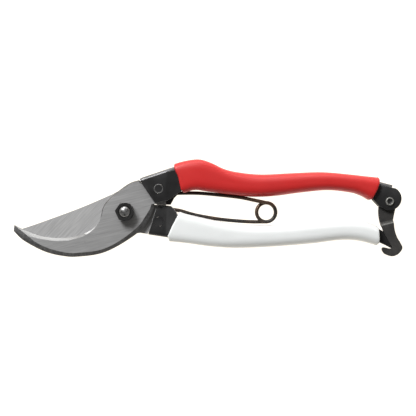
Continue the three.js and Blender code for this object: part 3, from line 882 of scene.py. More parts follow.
@dataclass(frozen=True)
class Blades(Assembly):
    """The hooked counter blade and the cutting blade behind it."""

    chamfer_depth: float = 1.3
    bore_radius: float = 4.2
    bore_margin: float = 0.5
    rivet_bore: float = 2.5
    heel_radius: float = 11.2
    edge_land: float = 0.25
    counter_round: float = 0.12
    cutting_round: float = 0.1
    grind_curve: float = 1.25
    grind_shares: tuple[float, ...] = (0.12, 0.28, 0.46, 0.66, 0.84, 1.0)
    flat_normal: float = 0.9999
    bevel_normal: float = 0.03
    bevel_from: float = -12.9
    glint_from: float = -20.5
    tip_from: float = -50.0
    tip_normal: float = -0.12
    rear_normal: float = -0.97
    side_normal: float = 0.2
    ground_below: float = -9.0
    ground_until: float = 5.0

    def counter(self) -> None:
        """The counter blade: forged chamfer outside, ground bevel along the hollow."""
        outer = Draw.smooth(
            [(-57.4, -9.9), (-54.8, -12.7), (-51.8, -15.1), (-44.6, -19.1), (-38.7, -21.4), (-32.0, -22.8),
             (-25.3, -23.2), (-13.0, -21.6), (-2.7, -17.0), (8.1, -9.4), (12.7, -2.7), (14.5, 0.9)], 96)
        outer_in = Draw.smooth(
            [(-50.2, -12.4), (-48.4, -13.7), (-46.7, -15.1), (-42.7, -17.4), (-37.8, -19.3), (-31.5, -20.8),
             (-25.4, -21.2), (-13.1, -19.7), (-3.4, -15.3), (6.4, -7.8), (10.7, -1.9), (12.7, 1.3)], 96)
        shank = [(15.0, 3.9), (21.0, 3.9), (20.3, 18.7), (8.2, 14.7)]
        shank_in = [(13.6, 3.9), (20.8, 4.1), (20.1, 18.4), (8.0, 14.4)]
        crown = Draw.smooth(
            [(7.1, 16.3), (2.5, 14.8), (-2.7, 11.3), (-7.8, 7.2), (-11.2, 2.9), (-12.4, -1.7)], 36)
        crown_in = Draw.smooth(
            [(6.9, 15.7), (2.9, 14.3), (-2.3, 10.8), (-7.4, 6.7), (-10.7, 2.5), (-12.0, -1.8)], 36)
        hollow = Draw.smooth(
            [(-12.9, -4.3), (-15.0, -7.3), (-18.9, -10.2), (-23.4, -12.1), (-28.4, -13.2), (-33.5, -13.5),
             (-37.8, -13.35), (-42.7, -12.6), (-47.2, -11.3), (-50.6, -9.9), (-53.3, -8.8),
             (-57.1, -6.9)], 84)
        hollow_in = Draw.smooth(
            [(-13.2, -5.0), (-15.7, -8.5), (-19.3, -11.4), (-23.8, -13.4), (-28.6, -14.6), (-33.5, -15.0),
             (-37.6, -14.9), (-41.8, -14.3), (-45.0, -13.7), (-47.0, -13.2), (-48.6, -12.8),
             (-50.1, -12.3)], 84)
        full, ground = outer + shank + crown + hollow, outer_in + shank_in + crown_in + hollow_in
        low, high = self.levels.counter_low, self.levels.counter_high
        chamfer = high - self.chamfer_depth
        blade = Shop.plate("hook_blade_forging", [(low, full), (chamfer, full), (high, ground)])
        Shop.drill(blade, PIVOT, self.bore_radius)
        Shop.drill(blade, RED_RIVET, self.rivet_bore)
        finishes = self.finishes
        self.dress(blade, finishes.counter_face, finishes.forged, finishes.edge_bevel, finishes.glint)

        def chamfered(centre: Vector, normal: Vector) -> bool:
            """Whether a face is on the outer chamfer or the plate's side."""
            outside_bore = math.hypot(centre.x, centre.y) > self.bore_radius + self.bore_margin
            return abs(normal.z) < self.flat_normal and outside_bore

        def bevelled(centre: Vector, normal: Vector) -> bool:
            """Whether a face is on the ground bevel along the hollow edge.

            Args:
                centre: the face's centre in millimetres.
                normal: its normal.

            Returns:
                True on the bevel.
            """
            ahead = chamfered(centre, normal) and centre.x < self.bevel_from and centre.z > chamfer
            off_tip = centre.x > self.tip_from or normal.x > self.tip_normal
            return ahead and normal.y > self.bevel_normal and off_tip

        Shop.zone(blade, 1, chamfered)
        Shop.zone(blade, 2, bevelled)
        # Slot 3: the bevel's stretch nearest the pivot, painted lighter as a glint.
        Shop.zone(blade, 3, lambda spot, normal: bevelled(spot, normal) and spot.x > self.glint_from)
        Shop.soften(blade, self.counter_round)
        Shop.shade(blade, angle=28)
        self.hand_over(blade, "counter_blade", Body.RED, Slot.GROUND)

    def cutting(self) -> None:
        """The cutting blade: flat inner face, wide hollow-ground bevel on the far side."""
        spine = Draw.smooth([(-6.4, 9.2), (-23.2, 2.0), (-43.8, -5.6), (-53.6, -8.9)], 50)
        edge = Draw.smooth(
            [(-54.6, -9.9), (-48.9, -13.0), (-40.0, -15.6), (-30.0, -17.2), (-20.0, -17.2), (-10.0, -15.2),
             (-2.0, -12.6), (5.3, -11.3)], 80)
        grind = Draw.smooth(
            [(-54.2, -9.5), (-48.5, -9.6), (-40.0, -9.9), (-30.0, -10.2), (-20.0, -10.5), (-11.0, -11.1),
             (-3.0, -11.9), (5.2, -11.25)], 80)
        shank = [
            (7.6, -10.9), (11.3, -11.5), (12.2, -9.6), (19.8, -10.9), (20.9, 3.57), (14.2, 3.57), (12.6, 1.6)]
        rest = shank + Draw.arc(PIVOT, self.heel_radius, 12, 122, 36) + spine
        low, high = self.levels.cutting_low, self.levels.cutting_high
        levels = [(low, grind + rest)]
        for share in self.grind_shares:
            reach = 1 - (1 - share) ** self.grind_curve
            line = [
                (a[0] + (b[0] - a[0]) * reach, a[1] + (b[1] - a[1]) * reach) for a, b in zip(grind, edge)]
            levels.append((low + (high - self.edge_land - low) * share, line + rest))
        blade = Shop.plate("slicing_blade_forging", [*levels, (high, edge + rest)])
        Shop.drill(blade, PIVOT, self.bore_radius)
        Shop.drill(blade, WHITE_RIVET, self.rivet_bore)
        self.dress(blade, self.finishes.cutting_face, self.finishes.forged, self.finishes.edge_bevel)

        def rear_or_side(centre: Vector, normal: Vector) -> bool:
            """Whether a face is on the forge-dark back or sides."""
            on_side = abs(normal.z) < self.side_normal and centre.y > self.ground_below
            return normal.z < self.rear_normal or on_side

        def hollow_ground(centre: Vector, normal: Vector) -> bool:
            """Whether a face is on the ground bevel of the cutting edge."""
            slanting = self.rear_normal <= normal.z < self.side_normal
            return slanting and centre.y < self.ground_below and centre.x < self.ground_until

        Shop.zone(blade, 1, rear_or_side)
        Shop.zone(blade, 2, hollow_ground)
        Shop.soften(blade, self.cutting_round)
        Shop.shade(blade, angle=28)
        self.hand_over(blade, "cutting_blade", Body.WHITE, Slot.CUTTING)

    def build(self) -> None:
        """Both blades."""
        self.counter()
        self.cutting()


# ---- Spring's route --------------------------------------------------------------


@dataclass(frozen=True)
class Wire:
    """The torsion spring's route: a leg beside each grip and a coil between them."""

    middle: float
    radius: float = 0.93
    coil: Flat = (72.6, -0.3)
    coil_radius: float = 4.9
    pitch: float = 2.3
    turns: float = 1.5
    turn_steps: int = 56
    leg_steps: int = 80
    coil_lead: float = 0.01
    upper: tuple[Flat, ...] = ((24.0, 9.4), (30.2, 9.6), (38.4, 9.5), (48.7, 8.6), (59.0, 7.4), (66.0, 6.0))
    lower: tuple[Flat, ...] = (
        (23.8, 1.2), (28.2, 0.5), (33.3, -1.0), (38.4, -2.2), (48.7, -3.9), (59.0, -4.9), (66.5, -5.25))

    @property
    def rise(self) -> float:
        """How far each end of the coil lies from mid-height."""
        return self.pitch * self.turns / 2

    def leg(self, upper: bool) -> list[Spot]:
        """One leg's centre line from its anchor to the coil, evenly spaced.

        Args:
            upper: True for the red handle's leg, False for the white one's.

        Returns:
            The places along it.
        """
        points, side = (self.upper, 1) if upper else (self.lower, -1)
        meet = (self.coil[0] - self.coil_lead, self.coil[1] + side * self.coil_radius)
        line = Draw.smooth([*points, meet], self.leg_steps)
        start = line[0][0]
        spots = []
        for x, y in line:
            share = min(max((x - start) / (self.coil[0] - start), 0), 1)
            share = share * share * (3 - 2 * share)
            spots.append((x, y, self.middle + side * self.rise * share))
        return spots

    def whole(self) -> list[Spot]:
        """The whole centre line.

        Returns:
            Its places, from the red handle's anchor to the white one's.
        """
        steps = round(self.turns * self.turn_steps)
        coil = []
        for i in range(1, steps):
            share = i / steps
            angle = math.pi / 2 - share * self.turns * math.tau
            coil.append((
                self.coil[0] + self.coil_radius * math.cos(angle),
                self.coil[1] + self.coil_radius * math.sin(angle),
                self.middle + self.rise * (1 - 2 * share)))
        return self.leg(True) + coil + self.leg(False)[::-1]


# ---- Grips -------------------------------------------------------------------------


@dataclass(frozen=True)
class SleeveShape:
    """What tells one grip sleeve from the other: its outlines and its two ends' bulges."""

    name: str
    node: str
    body: Body
    slot: Slot
    back: tuple[Flat, ...]
    inner: tuple[Flat, ...]
    front_bulge: tuple[Flat, ...]
    rear_bulge: tuple[Flat, ...]


@dataclass(frozen=True)
class Sleeve(Assembly):
    """One moulded grip sleeve with rounded lips and a groove for the spring's leg."""

    wire: Wire
    shape: SleeveShape
    thickness: float = 14.3
    back_wall: float = 1.6
    inner_wall: float = 1.5
    cavity_width: float = 8.4
    lip: float = 0.7
    roundness: float = 2.9
    front_flatness: float = 1.8
    flat_fade: float = 0.36
    cavity_roundness: float = 9.0
    groove_radius: float = 1.25
    groove_near: float = 0.8
    around: int = 104
    oval_samples: int = 721
    stations: int = 84
    cavity_stations: int = 24
    skin_span: Flat = (0.01, 0.99)
    lip_angles: tuple[float, ...] = (0, 18, 36, 54, 72)
    bulge_fade: float = 0.08
    front_crank: float = 0.5
    crank_fade: float = 0.2

    def section(self, low: float, high: float, half: float, power: float) -> list[Flat]:
        """An oval across the grip, its points evenly spaced.

        Args:
            low: depth where it starts.
            high: depth where it ends.
            half: half its thickness.
            power: 2 for an ellipse, more for a squarer oval.

        Returns:
            Its (depth, level) points.
        """
        turn = np.linspace(0, math.tau, self.oval_samples)
        cosine, sine = np.cos(turn), np.sin(turn)
        depth = (high - low) / 2 * np.sign(cosine) * np.abs(cosine) ** (2 / power) + (high + low) / 2
        level = half * np.sign(sine) * np.abs(sine) ** (2 / power)
        return Draw.spaced(np.column_stack([depth, level]), self.around)[:-1]

    def cross_at(self, share: float) -> tuple[np.ndarray, np.ndarray, float]:
        """Where the cross-section lies at a place along the grip.

        Args:
            share: the place, 0 at the front and 1 at the rear.

        Returns:
            Its inner point, the direction from there to the back, and its height.
        """
        back, inner = self.shape.back, self.shape.inner
        x_back = back[0][0] + (back[-1][0] - back[0][0]) * share
        x_inner = inner[0][0] + (inner[-1][0] - inner[0][0]) * share
        start = np.array([x_inner, Draw.height(inner, x_inner)])
        across = np.array([x_back, Draw.height(back, x_back)]) - start
        height = float(np.linalg.norm(across))
        return start, across / height, height

    def crank(self, share: float) -> float:
        """The share of its blade's offset that the channel keeps at a place along the grip."""
        return self.front_crank * max(0.0, 1 - share / self.crank_fade) ** 2

    def bulge(self, share: float, part: float) -> float:
        """How far a place bulges along the grip, near an end, by its part of the height."""
        front = Draw.value(self.shape.front_bulge, part) * max(0.0, 1 - share / self.bulge_fade)
        return front + Draw.value(self.shape.rear_bulge, part) * max(0.0, 1 - (1 - share) / self.bulge_fade)

    def ring(self, share: float, inset: float = 0.0, shift: float = 0.0, cavity: bool = False) -> Ring:
        """One ring of the sleeve.

        Args:
            share: place along the grip, 0 at the front.
            inset: how far it is drawn in from the outer skin.
            shift: millimetres along the grip from that place.
            cavity: whether it is the cavity's wall, which has no groove.

        Returns:
            The ring's places.
        """
        start, across, height = self.cross_at(share)
        ahead = np.array([abs(across[1]), -across[0] * np.sign(across[1])])
        groove = None if cavity else self.groove_at(start, across)
        if cavity:
            section = self.section(
                self.inner_wall, height - self.back_wall, self.cavity_width / 2, self.cavity_roundness)
        else:
            power = self.roundness + self.front_flatness * max(0.0, 1 - share / self.flat_fade)
            section = self.section(inset, height - inset, self.thickness / 2 - inset, power)
        ring = []
        middle = self.levels.middle
        if cavity:
            red = self.shape.body is Body.RED
            blade = self.levels.counter_middle if red else self.levels.cutting_middle
            middle += (blade - middle) * self.crank(share)
        for depth, level in section:
            if groove:
                off = abs(self.levels.middle + level - groove[1])
                if off < self.groove_radius and depth < height / 2:
                    depth = max(depth, groove[0] + math.sqrt(self.groove_radius**2 - off**2))
            place = start + across * depth + ahead * (shift + self.bulge(share, depth / height))
            ring.append((float(place[0]), float(place[1]), middle + level))
        return ring

    def groove_at(self, start: np.ndarray, across: np.ndarray) -> tuple[float, float] | None:
        """Where the spring's leg crosses a cross-section.

        Args:
            start: the cross-section's inner point.
            across: the direction from there to the back.

        Returns:
            Depth and level of the leg's centre, or None where it doesn't come near.
        """
        leg = np.array(self.wire.leg(self.shape.body is Body.RED))
        offset = leg[:, :2] - start
        aside = np.abs(offset[:, 0] * across[1] - offset[:, 1] * across[0])
        nearest = int(np.argmin(aside))
        if aside[nearest] > self.groove_near:
            return None
        return float(offset[nearest] @ across), float(leg[nearest, 2])

    def build(self) -> None:
        """The sleeve: its cavity, front lip, outside and rear lip in one closed loop."""
        turns = [(1 - math.sin(a), 1 - math.cos(a)) for a in np.radians(self.lip_angles)]
        front = [self.ring(0, self.lip * inset, self.lip * shift) for inset, shift in turns]
        rear = [self.ring(1, self.lip * inset, -self.lip * shift) for inset, shift in turns[::-1]]
        outside = [self.ring(float(share)) for share in np.linspace(*self.skin_span, self.stations)]
        inside = [self.ring(float(share), cavity=True) for share in np.linspace(1, 0, self.cavity_stations)]
        sleeve = Shop.loft(self.shape.name, [inside[-1], *front, *outside, *rear, *inside], looped=True)
        red = self.shape.body is Body.RED
        self.dress(sleeve, self.finishes.red if red else self.finishes.white)
        Shop.shade(sleeve, angle=50, flat_faces=False)
        self.hand_over(sleeve, self.shape.node, self.shape.body, self.shape.slot)


# ---- Handle channels -----------------------------------------------------------------


@dataclass(frozen=True)
class Row:
    """A channel's cross-section: back, open edge, crank, shorter top wall and foremost x."""

    back: Flat
    inner: Flat
    crank: float = 0.0
    shorter: float = 0.0
    front: float = -math.inf


@dataclass(frozen=True)
class Channel(Assembly):
    """One folded steel handle channel and what its rear end forms."""

    sleeve: Sleeve
    width: float = 7.8
    wall: float = 1.6
    fold: float = 1.8
    clearance: float = 0.3
    edge: float = 0.4
    rivet_bore: float = 2.5
    pin_bore: float = 1.7
    ear_wall: float = 1.8
    tang_thickness: float = 4.0
    fold_steps: int = 8
    grip_steps: int = 22
    red_rows: int = 21
    white_rows: int = 23
    fold_normals: Flat = (0.12, 0.985)
    back_normal: float = 0.1
    web_middle: float = 1.2
    red_back_above: float = 12.0
    red_fold_until: float = 138.0
    white_fold_until: float = 30.0
    white_highlight_above: float = -9.0

    def section(self, height: float, shorter: float) -> list[Flat]:
        """The folded section.

        Args:
            height: from its open edge to its back.
            shorter: how much shorter its upper wall is.

        Returns:
            Its points, each a depth from the open edge and a level.
        """
        half, hollow = self.width / 2, self.width / 2 - self.wall
        top = Draw.arc((height - self.fold, half - self.fold), self.fold, 0, 90, self.fold_steps)
        bottom = Draw.arc((height - self.fold, self.fold - half), self.fold, 270, 360, self.fold_steps)
        web = height - self.wall
        inside = [(shorter, half), (shorter, hollow), (web, hollow), (web, -hollow), (0, -hollow), (0, -half)]
        return [*top, *inside, *bottom]

    def ring(self, row: Row, blade_middle: float) -> Ring:
        """A ring of the channel at one of its rows.

        Args:
            row: the row.
            blade_middle: mid-thickness of the blade that it holds.

        Returns:
            The ring's places.
        """
        start, across = np.array(row.inner), np.array(row.back) - np.array(row.inner)
        height = float(np.linalg.norm(across))
        middle = self.levels.middle + (blade_middle - self.levels.middle) * row.crank
        ring = []
        for depth, level in self.section(height, row.shorter):
            place = start + across / height * depth
            ring.append((max(float(place[0]), row.front), float(place[1]), middle + level))
        return ring

    def slanting(self, normal: Vector) -> bool:
        """Whether a face slants as the fold does."""
        return self.fold_normals[0] < abs(normal.z) < self.fold_normals[1]

    def in_grip(self, count: int) -> list[Row]:
        """Rows inside the sleeve, clear of its wall.

        Args:
            count: how many, from the grip's front.

        Returns:
            The rows.
        """
        rows = []
        for i in range(count):
            share = i / self.grip_steps
            start, across, height = self.sleeve.cross_at(share)
            back = start + across * (height - self.sleeve.back_wall - self.clearance)
            inner = start + across * (self.sleeve.inner_wall + self.clearance)
            rows.append(Row(tuple(back), tuple(inner), self.sleeve.crank(share)))
        return rows

    def finish(
        self, obj: bpy.types.Object, rim: bpy.types.Material, is_fold: Callable[[Vector, Vector], bool]
    ) -> None:
        """Rounds the edges and lays on the coating, its wear and a lighter edge finish, which is a painted
        highlight.

        Args:
            obj: the channel.
            rim: the finish of its rounded edges, painted lighter as a highlight.
            is_fold: whether a face, by centre and normal, is on the worn fold.
        """
        self.dress(obj, self.finishes.coat, rim, self.finishes.worn)
        Shop.zone(obj, 2, is_fold)
        Shop.soften(obj, self.edge, segments=3, angle=40, slot=1)
        Shop.shade(obj, angle=34)

    def red(self) -> None:
        """The red handle's channel, with the fork of two ears that carries the catch."""
        front = [
            Row((6.9, 17.0), (15.4, 4.4), 1, 0.2, 7.6), Row((9.2, 17.75), (16.3, 3.6), 1, 1.0),
            Row((15.0, 19.7), (18.4, 3.6), 1, 1.5), Row((20.7, 21.6), (21.5, 3.6), 1, 2.1),
            Row((22.4, 22.2), (23.3, 3.6), 0.86, 3.0), Row((23.8, 22.65), (25.1, 7.0), 0.7, 1.1),
            Row((24.9, 22.95), (27.1, 9.0), 0.58, 0.4)]
        end = [
            Row((126.6, 15.9), (123.6, 9.4)), Row((131.4, 15.3), (129.4, 8.4)),
            Row((137.6, 13.7), (136.3, 9.4))]
        rows = [*front, *self.in_grip(self.red_rows), *end]
        rings = [self.ring(row, self.levels.counter_middle) for row in rows]
        channel = Shop.loft("red_channel_folded", rings)
        ear = [(127.4, 6.2), (130.5, 2.9), *Draw.arc((136.1, 6.8), 6.0, -118, 60, 48), (131.0, 13.5)]
        middle, half = self.levels.middle, self.ear_wall / 2
        spread = self.width - self.wall
        level = middle - spread / 2
        lower_ear = Shop.plate("ear", [(level - half, ear), (level + half, ear)])
        upper_ear = Shop.copy(lower_ear, (0, 0, spread))
        Shop.combine(channel, lower_ear, "UNION")
        Shop.combine(channel, upper_ear, "UNION")

        def on_fold(centre: Vector, normal: Vector) -> bool:
            """Whether a face is on the rounded fold along the back.

            Args:
                centre: the face's centre in millimetres.
                normal: its normal.

            Returns:
                True on the fold.
            """
            on_back = normal.y > self.back_normal and centre.y > self.red_back_above
            off_web = abs(centre.z - middle) > self.web_middle
            return self.slanting(normal) and on_back and off_web and centre.x < self.red_fold_until

        # The rounded edges take the rim finish: wear with a painted highlight.
        self.finish(channel, self.finishes.rim, on_fold)
        Shop.drill(channel, CATCH_PIN, self.pin_bore)
        Shop.drill(channel, RED_RIVET, self.rivet_bore)
        self.hand_over(channel, "red_handle", Body.RED, Slot.BLACK)

    def white(self) -> None:
        """The white handle's channel, with the tang that the catch passes over."""
        front = [
            Row((11.7, -11.7), (15.9, 2.0), 1), Row((12.6, -11.9), (16.6, 2.9), 1),
            Row((20.0, -13.05), (21.4, 3.2), 1), Row((21.0, -13.2), (23.6, 2.9), 0.82),
            Row((21.8, -13.35), (25.6, 1.0), 0.62)]
        rows = [*front, *self.in_grip(self.white_rows)]
        rings = [self.ring(row, self.levels.cutting_middle) for row in rows]
        channel = Shop.loft("white_channel_folded", rings)
        tang = [
            (116.0, -11.9), (123.0, -12.9), (129.9, -14.9), (130.9, -15.8), (134.6, -17.5), (137.7, -19.2),
            (138.0, -17.2), (135.9, -14.4), (133.6, -10.6), (131.0, -9.0), (129.0, -9.5), (120.0, -8.5)]
        low = self.levels.middle - self.tang_thickness / 2
        Shop.combine(channel, Shop.plate("tang", [(low, tang), (low + self.tang_thickness, tang)]), "UNION")

        def on_fold(centre: Vector, normal: Vector) -> bool:
            """Whether a face is on the rounded fold along the back."""
            on_back = normal.y < -self.back_normal and centre.x < self.white_fold_until
            return self.slanting(normal) and on_back

        # The rounded edges take a painted highlight; faces towards the bottom go back to the plain coat, so
        # it stays on the upper, lit edges.
        self.finish(channel, self.finishes.painted_highlight_rim, on_fold)
        Shop.zone(channel, 0, lambda centre, _: centre.y < self.white_highlight_above)
        Shop.drill(channel, WHITE_RIVET, self.rivet_bore)
        Shop.clean(channel)
        self.hand_over(channel, "white_handle", Body.WHITE, Slot.BLACK)


# ---- Fasteners -------------------------------------------------------------------------


@dataclass(frozen=True)
class Fasteners(Assembly):
    """The pivot bolt with its washer and nut, and the three rivets."""

    head_radius: float = 6.2
    head_height: float = 2.7
    shoulder_radius: float = 4.0
    thread_radius: float = 2.72
    thread_pitch: float = 0.8
    thread_depth: float = 0.22
    thread_crest: float = 0.35
    thread_run_in: float = 0.4
    thread_run_out: float = 0.3
    dome_height: float = 1.28
    dome_steps: int = 12
    dome_from: float = 0.05
    washer_radius: float = 4.6
    washer_thickness: float = 0.8
    washer_play: float = 0.25
    washer_round: float = 0.15
    nut_radius: float = 5.0
    nut_height: float = 4.5
    nut_turn: float = 25.0
    nut_play: float = 0.12
    nut_round: float = 0.14
    rivet_radius: float = 2.45
    rivet_reach: float = 4.0
    rivet_rim: float = 0.07
    rivet_rim_width: float = 0.48
    rolled_from: float = 1.35

    @property
    def nut_low(self) -> float:
        """Underside of the nut."""
        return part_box("pivot_nut")[0][2] / MM

    @property
    def nut_top(self) -> float:
        """Top of the nut."""
        return self.nut_low + self.nut_height

    def bolt(self) -> None:
        """The bolt: rounded flat head, shoulder, thread with a domed end."""
        head, seat, top = self.head_radius, self.levels.counter_high, self.nut_top
        profile = [
            (0, 0), (head - 0.9, 0), (head - 0.45, 0.12), (head - 0.1, 0.5), (head, 0.9),
            (head, self.head_height - 0.25), (head - 0.25, self.head_height),
            (self.shoulder_radius, self.head_height), (self.shoulder_radius, seat),
            (self.thread_radius, seat)]
        turn = seat + self.thread_run_in
        while turn < top - self.thread_run_out:
            root = self.thread_radius - self.thread_depth
            profile += [(root, turn), (self.thread_radius, turn + self.thread_crest)]
            turn += self.thread_pitch
        for angle in np.radians(np.linspace(0, 90, self.dome_steps)):
            profile.append((self.thread_radius * math.cos(angle), top + self.dome_height * math.sin(angle)))
        profile[-1] = (0, profile[-1][1])
        bolt = Shop.turned("pivot_bolt_turned", profile)
        self.dress(bolt, self.finishes.fastener, self.finishes.bolt_end)
        Shop.zone(bolt, 1, lambda centre, _: centre.z > top + self.dome_from)
        Shop.shade(bolt, angle=40, flat_faces=False)
        self.hand_over(bolt, "pivot_bolt", Body.RED, Slot.FASTENER)

    def washer(self) -> None:
        """The washer: a bored disc with rounded edges."""
        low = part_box("pivot_washer")[0][2] / MM
        high = low + self.washer_thickness
        washer = Shop.bar("pivot_washer_flat", PIVOT, self.washer_radius, low, high, sides=72)
        Shop.drill(washer, PIVOT, self.thread_radius + self.washer_play)
        self.dress(washer, self.finishes.fastener)
        Shop.soften(washer, self.washer_round)
        Shop.shade(washer)
        self.hand_over(washer, "pivot_washer", Body.RED, Slot.FASTENER)

    def nut(self) -> None:
        """The hexagonal nut: corners turned off, mouth countersunk round the thread."""
        low, top, corner = self.nut_low, self.nut_top, self.nut_radius
        nut = Shop.pick(Shop.bar("pivot_nut_hexagon", PIVOT, corner, low, top, sides=6))
        nut.rotation_euler.z = math.radians(self.nut_turn)
        bpy.ops.object.transform_apply(rotation=True)
        flat = corner * math.cos(math.pi / 6)
        Shop.combine(nut, Shop.turned("turning", [
            (0, low - 1), (flat - 0.1, low - 0.35), (corner + 0.1, low + 0.35),
            (corner + 0.1, top - 0.3), (flat + 0.2, top + 0.05), (0, top + 0.8)], steps=96), "INTERSECT")
        mouth = self.thread_radius + self.nut_play
        Shop.combine(nut, Shop.turned("mouth", [
            (0, low - 2), (mouth, low - 2), (mouth, top - 0.35), (mouth + 0.45, top + 0.1),
            (mouth + 0.45, top + 2), (0, top + 2)]), "DIFFERENCE")
        self.dress(nut, self.finishes.fastener)
        Shop.soften(nut, self.nut_round, angle=20)
        Shop.shade(nut, angle=22)
        self.hand_over(nut, "pivot_nut", Body.RED, Slot.FASTENER)

    @staticmethod
    def mirrored(name: str, side: list[Flat], centre: Flat, middle: float) -> bpy.types.Object:
        """A turned pin whose two ends are alike.

        Args:
            name: the object's name.
            side: an end's profile, each point a radius and a reach from the middle.
            centre: where the axis stands.
            middle: the pin's mid-level.

        Returns:
            The new object.
        """
        profile = [(radius, middle - reach) for radius, reach in side]
        profile += [(radius, middle + reach) for radius, reach in side[::-1]]
        return Shop.turned(name, profile, centre)

    def flush_rivet(
        self, name: str, node: str, body: Body, centre: Flat, middle: float, rim: float
    ) -> None:
        """A rivet ground flush with the channel's walls.

        Args:
            name: the piece's name.
            node: the CAD node that it replaces.
            body: the body that it rides on.
            centre: where the axis stands.
            middle: mid-thickness of the blade that it holds.
            rim: how far the rim of each end stands above the reach.
        """
        radius, reach = self.rivet_radius, self.rivet_reach
        side = [
            (0, reach - 0.08), (radius - 0.5, reach - 0.08), (radius - 0.38, reach + rim),
            (radius - 0.2, reach + rim), (radius - 0.06, reach - 0.06), (radius, reach - 0.25)]
        rivet = self.mirrored(name, side, centre, middle)
        self.dress(rivet, self.finishes.coat, self.finishes.rim)
        # A raised rim takes the rim finish: worn steel, painted lighter as a highlight arc.
        if rim > 0:
            rim_from = radius - self.rivet_rim_width
            Shop.zone(rivet, 1, lambda spot, _: math.dist((spot.x, spot.y), centre) > rim_from)
        Shop.shade(rivet, angle=40)
        self.hand_over(rivet, node, body, Slot.BLACK)

    def catch_rivet(self) -> None:
        """The catch's rivet: rolled rims round a sunk middle, outside both ears."""
        low, high = (corner[2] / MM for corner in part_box("catch_rivet"))
        head = (high - low) / 2
        side = [
            (0, head - 0.66), (0.9, head - 0.64), (1.25, head - 0.5), (1.42, head - 0.1), (1.6, head),
            (1.9, head - 0.04), (2.08, head - 0.25), (2.14, head - 0.68), (1.4, head - 0.7)]
        rivet = self.mirrored("catch_rivet_rolled", side, CATCH_PIN, (low + high) / 2)
        self.dress(rivet, self.finishes.coat, self.finishes.catch_rim_highlight)
        # The rolled rims take the light grey, a painted highlight.
        Shop.zone(rivet, 1, lambda spot, _: math.dist((spot.x, spot.y), CATCH_PIN) > self.rolled_from)
        Shop.shade(rivet, angle=50)
        self.hand_over(rivet, "catch_rivet", Body.RED, Slot.FASTENER)

    def build(self) -> None:
        """All the fasteners."""
        self.bolt()
        self.washer()
        self.nut()
        self.flush_rivet(
            "red_rivet_flush", "red_handle_rivet", Body.RED, RED_RIVET, self.levels.counter_middle,
            self.rivet_rim)
        self.flush_rivet(
            "white_rivet_flush", "white_handle_rivet", Body.WHITE, WHITE_RIVET, self.levels.cutting_middle,
            -self.rivet_rim)
        self.catch_rivet()


# ---- Catch -----------------------------------------------------------------------------


@dataclass(frozen=True)
class Catch(Assembly):
    """The swinging hook, one plate joggled up to pass over the tang."""

    thickness: float = 2.5
    pin_bore: float = 1.6
    eye_radius: float = 3.9
    crease: Flat = (6.5, 1.6)
    crease_through: Flat = (134.9, -6.0)
    joggle_reach: float = 1.1
    joggle_cuts: tuple[float, ...] = (-1.0, -0.7, -0.35, 0.0, 0.35, 0.7, 1.0)
    joggle_margin: float = 0.1
    slope_normals: Flat = (0.3, 0.97)
    edge: float = 0.35

    def outline(self) -> list[Flat]:
        """The catch seen from above.

        Returns:
            Its outline.
        """
        return [
            *Draw.arc(CATCH_PIN, self.eye_radius, -20, 200, 30),
            *Draw.smooth(
                [(130.6, 2.5), (130.5, -0.7), (131.0, -4.6), (131.9, -7.8), (132.7, -10.2), (134.6, -13.7),
                 (136.4, -16.9), (137.3, -18.2), (136.6, -18.9), (135.4, -18.85), (133.4, -18.35),
                 (132.1, -18.4)], 64),
            *Draw.smooth(
                [(131.8, -19.2), (132.2, -20.4), (133.5, -21.8), (136.9, -22.9), (139.9, -22.0),
                 (141.9, -19.9), (142.4, -18.2), (141.4, -16.0), (139.6, -12.9), (138.4, -9.0),
                 (138.1, -5.1), (138.4, -2.2), (139.3, 1.9)], 76)]

    def build(self) -> None:
        """The catch: a flat face cut across its crease, joggled, thickened and rounded."""
        middle, catch_box = self.levels.middle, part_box("catch")
        obj = Shop.wire_ring("catch_plate_joggled", [(x, y, 0.0) for x, y in self.outline()], filled=True)
        crease = Vector((*self.crease, 0)).normalized()
        across = Vector((crease.y, -crease.x, 0))
        through = Vector((*self.crease_through, 0))
        reach = self.joggle_reach
        shift = catch_box[1][2] / MM - self.thickness / 2 - middle
        bpy.ops.object.mode_set(mode="EDIT")
        for share in self.joggle_cuts:
            bpy.ops.mesh.select_all(action="SELECT")
            bpy.ops.mesh.bisect(plane_co=(through + across * share * reach) * MM, plane_no=across)
        bpy.ops.object.mode_set(mode="OBJECT")
        for vertex in obj.data.vertices:
            along = (vertex.co / MM - through).dot(across)
            share = min(max((along + reach) / (2 * reach), 0), 1)
            vertex.co.z = (middle + shift * share * share * (3 - 2 * share)) * MM
        Shop.apply(obj, "SOLIDIFY", thickness=self.thickness * MM, offset=0.0)
        self.dress(obj, self.finishes.catch_coat, self.finishes.joggle)

        def on_joggle(centre: Vector, normal: Vector) -> bool:
            """Whether a face is on the sloping joggle."""
            sloping = self.slope_normals[0] < abs(normal.z) < self.slope_normals[1]
            return sloping and abs((centre - through).dot(across)) < reach + self.joggle_margin

        # The joggle's slopes take the lighter coat, a painted highlight.
        Shop.zone(obj, 1, on_joggle)
        Shop.soften(obj, self.edge, segments=3, angle=40)
        Shop.drill(obj, CATCH_PIN, self.pin_bore)
        Shop.shade(obj, angle=34)
        self.hand_over(obj, "catch", Body.CATCH, Slot.BLACK)


# ---- Spring ------------------------------------------------------------------------------


